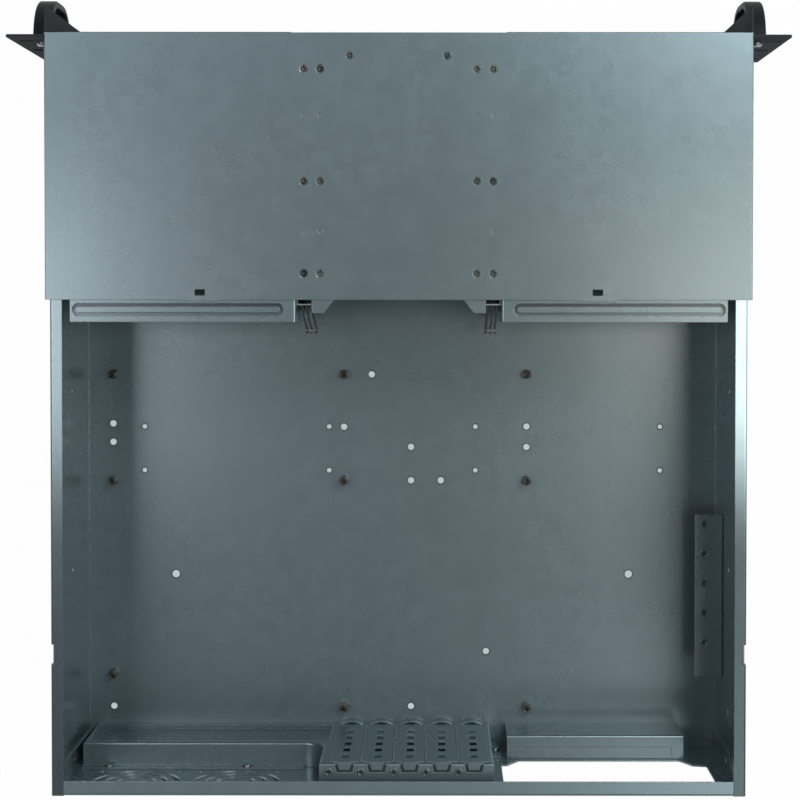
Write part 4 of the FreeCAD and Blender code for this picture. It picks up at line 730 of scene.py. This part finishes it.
def makeCopiesTree():
    # one small part set on each point, turned by its own angle
    tree, given, result = newPointTree(
        "fixingCopies",
        [("Part", "Object", None), ("Seed", "Int", 0), ("Largest Turn", "Float", fullTurn),
         ("Material", "Material", None)],
    )
    part = newNode(tree, "GeometryNodeObjectInfo")
    join(tree, given["Part"], part.inputs["Object"])
    turn = newNode(tree, "FunctionNodeRandomValue", {"data_type": "FLOAT"})
    join(tree, given["Largest Turn"], turn.inputs[3])
    join(tree, given["Seed"], turn.inputs["Seed"])
    angle = newNode(tree, "ShaderNodeCombineXYZ")
    join(tree, turn.outputs[1], angle.inputs["Z"])
    copies = newNode(tree, "GeometryNodeInstanceOnPoints")
    join(tree, given["Points"], copies.inputs["Points"])
    join(tree, part.outputs["Geometry"], copies.inputs["Instance"])
    join(tree, angle.outputs[0], copies.inputs["Rotation"])
    finishTree(tree, copies.outputs[0], given["Material"], result, False)
    return tree


rimTree = makeRimTree()
copiesTree = makeCopiesTree()


def growPiece(name, spots, tree, values):
    # spots are (x, y, z, radius); the tree's result becomes a plain mesh on the case
    points = bpy.data.meshes.new(name + "Points")
    points.from_pydata([spot[:3] for spot in spots], [], [])
    radii = points.attributes.new("radius", "FLOAT", "POINT")
    radii.data.foreach_set("value", [spot[3] for spot in spots])
    holder = bpy.data.objects.new(name + "Holder", points)
    bpy.context.scene.collection.objects.link(holder)
    modifier = holder.modifiers.new("grow", "NODES")
    modifier.node_group = tree
    for item in tree.interface.items_tree:
        if item.in_out == "INPUT" and item.name in values:
            modifier[item.identifier] = values[item.name]
    grown = holder.evaluated_get(bpy.context.evaluated_depsgraph_get())
    mesh = bpy.data.meshes.new_from_object(grown)
    holder.modifiers.remove(modifier)
    bpy.data.objects.remove(holder)
    piece = bpy.data.objects.new(name, mesh)
    bpy.context.scene.collection.objects.link(piece)
    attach(piece, "case")
    return piece


def meshObject(name, mesh):
    bmesh.ops.recalc_face_normals(mesh, faces=mesh.faces)
    data = bpy.data.meshes.new(name)
    mesh.to_mesh(data)
    mesh.free()
    return bpy.data.objects.new(name, data)


def latheObject(name, rings, sides, radiusAt):
    # closed skin from the middle of the first ring to the middle of the last
    mesh = bmesh.new()
    loops = []
    for height, radius, shape in rings:
        turn = [2 * math.pi * step / sides for step in range(sides)]
        reach = [radiusAt(angle, radius, shape) for angle in turn]
        loops.append([mesh.verts.new((far * math.cos(angle), far * math.sin(angle), height))
                      for far, angle in zip(reach, turn)])
    for lower, upper in zip(loops, loops[1:]):
        for step in range(sides):
            after = (step + 1) % sides
            mesh.faces.new((lower[step], lower[after], upper[after], upper[step]))
    mesh.faces.new(loops[0][::-1])
    mesh.faces.new(loops[-1])
    return meshObject(name, mesh)


def growCopies(name, pattern, places, values, material):
    given = {"Part": pattern, "Seed": values["seed"], "Largest Turn": fullTurn, "Material": material}
    piece = growPiece(name, places, copiesTree, given)
    bpy.data.objects.remove(pattern)
    return piece


# hexagonal posts with a swaged foot, a chamfered head and a threaded hole
post = {
    "acrossFlats": 0.0052,
    "foot": 0.0032,
    "footHeight": 0.0005,
    "headChamfer": 0.0024,
    "hole": 0.0015,
    "threadPitch": 0.0005,
    "threadDepth": 0.0002,
    "threadTurns": 11,
    "chamferDrop": 0.0005,
    "shoulder": 1.4,
    "neck": 0.93,
    "mouth": 1.25,
    "threadStart": 0.25,
    "drillPoint": 0.5,
    "sides": 48,
    "seed": 3,
}


def makePosts():
    spots = looseParts("standoffs")
    height = spots[0][1][2] - spots[0][0][2]

    def radiusAt(angle, radius, shape):
        corner = angle % (math.pi / 3) - math.pi / 6
        flat = post["acrossFlats"] / 2 / math.cos(corner)
        return min(flat, radius) if shape == "hexagon" else radius

    foot, lift, hole = post["foot"], post["footHeight"], post["hole"]
    shoulder = lift * post["shoulder"]
    rings = [(0.0, foot, "round"), (lift, foot, "round"), (shoulder, foot * post["neck"], "round"),
             (shoulder, foot, "hexagon"), (height - post["chamferDrop"], foot, "hexagon"),
             (height, post["headChamfer"], "hexagon"), (height, hole * post["mouth"], "round")]
    level = height - hole * post["threadStart"]
    for _ in range(post["threadTurns"]):
        rings.append((level, hole, "round"))
        rings.append((level - post["threadPitch"] / 2, hole + post["threadDepth"], "round"))
        level -= post["threadPitch"]
    rings.append((level, hole * post["drillPoint"], "round"))
    pattern = latheObject("postPattern", rings, post["sides"], radiusAt)
    places = [((low[0] + high[0]) / 2, (low[1] + high[1]) / 2, low[2], 1.0) for low, high in spots]
    brass = materials["nickelBrass"]
    piece = growCopies("boardPosts", pattern, places, post, brass)
    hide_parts("standoffs")


# countersunk screws with a cross recess
roofScrew = {
    "dome": 0.00012,
    "crossArm": 0.0017,
    "crossWidth": 0.00042,
    "crossDepth": 0.0010,
    "crossSoftness": 0.00012,
    "rings": 14,
    "sides": 48,
    "shankRadius": 0.0015,
    "headHeight": 0.0012,
    "seed": 11,
}


def makeRoofScrews():
    spots = looseParts("roof_screws")
    low, high = spots[0]
    head = (high[0] - low[0]) / 2
    top = high[2]
    sides, rings = roofScrew["sides"], roofScrew["rings"]
    mesh = bmesh.new()

    def heightAt(x, y):
        dome = -roofScrew["dome"] * (x * x + y * y) / (head * head)
        arm, half = roofScrew["crossArm"], roofScrew["crossWidth"]
        sunk = 0.0
        for along, across in ((abs(x), abs(y)), (abs(y), abs(x))):
            inside = min(1.0, max(0.0, (half - across) / roofScrew["crossSoftness"] + 0.5))
            sunk = max(sunk, inside * max(0.0, 1.0 - along / arm) ** 0.5)
        return dome - roofScrew["crossDepth"] * sunk

    loops = []
    for ring in range(1, rings + 1):
        far = head * ring / rings
        loops.append([])
        for step in range(sides):
            angle = 2 * math.pi * step / sides
            x, y = far * math.cos(angle), far * math.sin(angle)
            loops[-1].append(mesh.verts.new((x, y, heightAt(x, y))))
    drop, shank = -roofScrew["headHeight"], roofScrew["shankRadius"]
    for radius, height in ((shank, drop), (shank, low[2] - top)):
        loops.append([mesh.verts.new((radius * math.cos(2 * math.pi * step / sides),
                                      radius * math.sin(2 * math.pi * step / sides), height))
                      for step in range(sides)])
    middle = mesh.verts.new((0, 0, heightAt(0, 0)))
    for step in range(sides):
        mesh.faces.new((middle, loops[0][step], loops[0][(step + 1) % sides]))
    for inner, outer in zip(loops, loops[1:]):
        for step in range(sides):
            after = (step + 1) % sides
            mesh.faces.new((inner[step], outer[step], outer[after], inner[after]))
    mesh.faces.new(loops[-1])
    pattern = meshObject("screwPattern", mesh)
    places = [((a[0] + b[0]) / 2, (a[1] + b[1]) / 2, b[2], 1.0) for a, b in spots]
    dark = materials["darkScrew"]
    piece = growCopies("roofScrewHeads", pattern, places, roofScrew, dark)
    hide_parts("roof_screws")


# rolled edges of the holes in the base, and the drawn, tapped holes of the ledge and the side rail
holeRims = {
    "largestBaseHole": 0.0105,
    "largestTapped": 0.0045,
    "burrSection": 0.00032,
    "burrGrowth": 0.6,
    "burrResolution": 28,
    "collarSection": 0.00055,
    "collarGrowth": 0.0005,
    "collarDrop": 0.0001,
    "collarResolution": 24,
    "threadSection": 0.00016,
    "threadDrop": 0.0004,
    "threadTurns": 4,
    "threadPitch": 0.0005,
    "threadResolution": 20,
}


def growRims(name, spots, kind, turns, material):
    values = {"Section": holeRims[kind + "Section"], "Turns": turns, "Pitch": holeRims["threadPitch"],
              "Resolution": holeRims[kind + "Resolution"], "Material": materials[material]}
    growPiece(name, spots, rimTree, values)


def makeHoleRims():
    sheetTop = min(vertex.co.z for vertex in nodes["standoffs"].data.vertices)
    growth = holeRims["burrSection"] * holeRims["burrGrowth"]
    base = roundHoles("chassis_tray", sheetTop, holeRims["largestBaseHole"])
    burrs = [(x, y, sheetTop, radius + growth) for x, y, radius in base]
    collars, threads = [], []
    ledgeTop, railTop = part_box("recess_panel")[1][2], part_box("psu_side_rail")[1][2]
    for name, height in (("recess_panel", ledgeTop), ("psu_side_rail", railTop)):
        for x, y, radius in roundHoles(name, height, holeRims["largestTapped"]):
            collars.append((x, y, height - holeRims["collarDrop"], radius + holeRims["collarGrowth"]))
            threads.append((x, y, height - holeRims["threadDrop"], radius))
    growRims("baseHoleEdges", burrs, "burr", 1, "cutEdge")
    growRims("tappedCollars", collars, "collar", 1, "drawnEdge")
    growRims("tappedThreads", threads, "thread", holeRims["threadTurns"], "cutEdge")


makePosts()
makeRoofScrews()
makeHoleRims()
print("stage: fixings and hole edges")


# floor, light and camera
studio = {
    "floorSize": 6.0,
    "floorDrop": 0.0002,
    "floorColour": (0.86, 0.87, 0.87),
    "floorGlow": 0.98,
    # painted shade on the floor: grey beneath the case and a dark shadow strip behind the slot covers
    # and fan grilles
    "shadeBeneathCase": (0.50, 0.57, 0.60),
    "shadowBehindSlots": (0.020, 0.030, 0.034),
    "shadowEnd": -0.066,
    "shadowReach": 0.029,
    "shadowSoftness": 0.003,
    "shadowDepth": 0.024,
    "sideInset": 0.030,
    "endInset": 0.006,
    "worldColour": (0.94, 0.99, 1.0),
    "worldStrength": 0.155,
    "cameraPlace": (-0.02304, -0.06227, 1.3272),
    "cameraTilt": 0.0237,
    "cameraPan": -0.0010,
    "cameraRoll": 0.0008,
    "cameraShift": (-0.0427, -0.075),
    "focalLength": 87.53,
    "sensorWidth": 36.0,
    "clipEnd": 20.0,
}

lamps = [
    ("rightSoftbox", (-0.72, -0.02, 1.7), (-0.1, 0.0, 0.0), (0.36, 0.8), 3.1, (1.0, 0.83, 0.71)),
    ("rightSide", (-1.2, -0.02, 1.4), (-0.1, 0.0, 0.0), (0.6, 1.2), 5.0, (0.97, 1.0, 1.0)),
    ("rightRear", (-0.62, 0.7, 1.6), (-0.1, 0.0, 0.0), (0.6, 0.6), 1.6, (1.0, 0.98, 0.95)),
    ("rightFront", (-0.6, -0.8, 1.5), (-0.1, 0.0, 0.0), (0.6, 0.6), 12.0, (0.98, 1.0, 1.0)),
    ("leftSoftbox", (0.85, -0.02, 1.6), (0.1, 0.0, 0.0), (0.4, 0.8), 4.4, (1.0, 0.9, 0.89)),
    ("leftFront", (0.6, -0.8, 1.5), (0.1, 0.0, 0.0), (0.6, 0.6), 3.0, (1.0, 1.0, 1.0)),
    ("overhead", (0.0, 0.0, 2.4), (0.0, 0.0, 0.0), (2.4, 2.4), 1.0, (1.0, 1.0, 1.0)),
]


def makeFloor():
    half = studio["floorSize"] / 2
    mesh = bpy.data.meshes.new("floor")
    corners = [(-half, -half, 0), (half, -half, 0), (half, half, 0), (-half, half, 0)]
    mesh.from_pydata(corners, [], [(0, 1, 2, 3)])
    floor = bpy.data.objects.new("floor", mesh)
    floor.location.z = cadBox[0][2] - studio["floorDrop"]
    bpy.context.scene.collection.objects.link(floor)
    material = bpy.data.materials.new("paleFloor")
    material.use_nodes = True
    tree = material.node_tree
    tree.nodes.clear()
    out = newNode(tree, "ShaderNodeOutputMaterial")
    matt = newNode(tree, "ShaderNodeBsdfDiffuse", Color=(*studio["floorColour"], 1.0))
    white = newNode(tree, "ShaderNodeEmission", Strength=1.0)
    place = newNode(tree, "ShaderNodeSeparateXYZ")
    join(tree, objectPlace(tree), place.inputs[0])
    x, y, soft = place.outputs["X"], place.outputs["Y"], studio["shadowSoftness"]
    side, rear = cadBox[1][0] - studio["sideInset"], cadBox[1][1]
    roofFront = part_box("roof_cover")[0][1] + studio["endInset"]
    # painted shade: the floor beneath the case is grey and a strip behind the slot covers is dark,
    # seen through the base holes, vents and grilles
    under = boxMask(tree, x, y, (-side, side), (roofFront, rear - studio["endInset"]), soft)
    along = (rear - studio["shadowDepth"], rear + studio["shadowReach"])
    slots = boxMask(tree, x, y, (studio["shadowEnd"], side), along, soft)
    seenColour = mixColour(tree, under, (1.0, 1.0, 1.0), studio["shadeBeneathCase"])
    seenColour = mixColour(tree, slots, seenColour, studio["shadowBehindSlots"])
    join(tree, seenColour, white.inputs["Color"])
    path = newNode(tree, "ShaderNodeLightPath")
    seen = maths(tree, "MAXIMUM", path.outputs["Is Camera Ray"], path.outputs["Is Glossy Ray"])
    seen = maths(tree, "MAXIMUM", seen, path.outputs["Is Transmission Ray"])
    share = maths(tree, "MULTIPLY", seen, studio["floorGlow"])
    mix = newNode(tree, "ShaderNodeMixShader")
    join(tree, share, mix.inputs[0])
    join(tree, matt.outputs[0], mix.inputs[1])
    join(tree, white.outputs[0], mix.inputs[2])
    join(tree, mix.outputs[0], out.inputs["Surface"])
    mesh.materials.append(material)


def makeWorld():
    world = bpy.data.worlds.new("studio")
    bpy.context.scene.world = world
    world.use_nodes = True
    tree = world.node_tree
    tree.nodes.clear()
    out = newNode(tree, "ShaderNodeOutputWorld")
    lit = newNode(tree, "ShaderNodeBackground", Color=(*studio["worldColour"], 1.0),
                  Strength=studio["worldStrength"])
    path = newNode(tree, "ShaderNodeLightPath").outputs
    direct = maths(tree, "MAXIMUM", path["Is Camera Ray"], path["Is Transmission Ray"])
    white = newNode(tree, "ShaderNodeBackground", Color=(1, 1, 1, 1), Strength=1.0)
    mix = newNode(tree, "ShaderNodeMixShader")
    join(tree, direct, mix.inputs[0])
    join(tree, lit.outputs[0], mix.inputs[1])
    join(tree, white.outputs[0], mix.inputs[2])
    join(tree, mix.outputs[0], out.inputs["Surface"])


def makeLamp(name, place, aim, size, power, colour):
    data = bpy.data.lights.new(name, "AREA")
    data.shape = "RECTANGLE"
    data.size, data.size_y = size
    data.energy = power
    data.color = colour
    lamp = bpy.data.objects.new(name, data)
    lamp.location = place
    lamp.rotation_euler = (Vector(aim) - Vector(place)).to_track_quat("-Z", "Y").to_euler()
    bpy.context.scene.collection.objects.link(lamp)


def makeCamera():
    tilt, pan, roll = studio["cameraTilt"], studio["cameraPan"], studio["cameraRoll"]
    across = Vector((-1, 0, 0))
    level = Vector((0, math.sin(tilt), -math.cos(tilt)))
    down = Vector((0, math.cos(tilt), math.sin(tilt)))
    right = across * math.cos(pan) - level * math.sin(pan)
    ahead = across * math.sin(pan) + level * math.cos(pan)
    turned = right * math.cos(roll) - down * math.sin(roll)
    lowered = right * math.sin(roll) + down * math.cos(roll)
    data = bpy.data.cameras.new("camera")
    data.lens = studio["focalLength"]
    data.sensor_width = studio["sensorWidth"]
    data.shift_x, data.shift_y = studio["cameraShift"]
    data.clip_end = studio["clipEnd"]
    camera = bpy.data.objects.new("camera", data)
    turn = Matrix((turned, -lowered, -ahead)).transposed()
    camera.matrix_world = Matrix.Translation(studio["cameraPlace"]) @ turn.to_4x4()
    bpy.context.scene.collection.objects.link(camera)
    bpy.context.scene.camera = camera


makeFloor()
makeWorld()
for values in lamps:
    makeLamp(*values)
makeCamera()
bpy.context.scene.view_settings.view_transform = "Standard"
print("stage: studio")
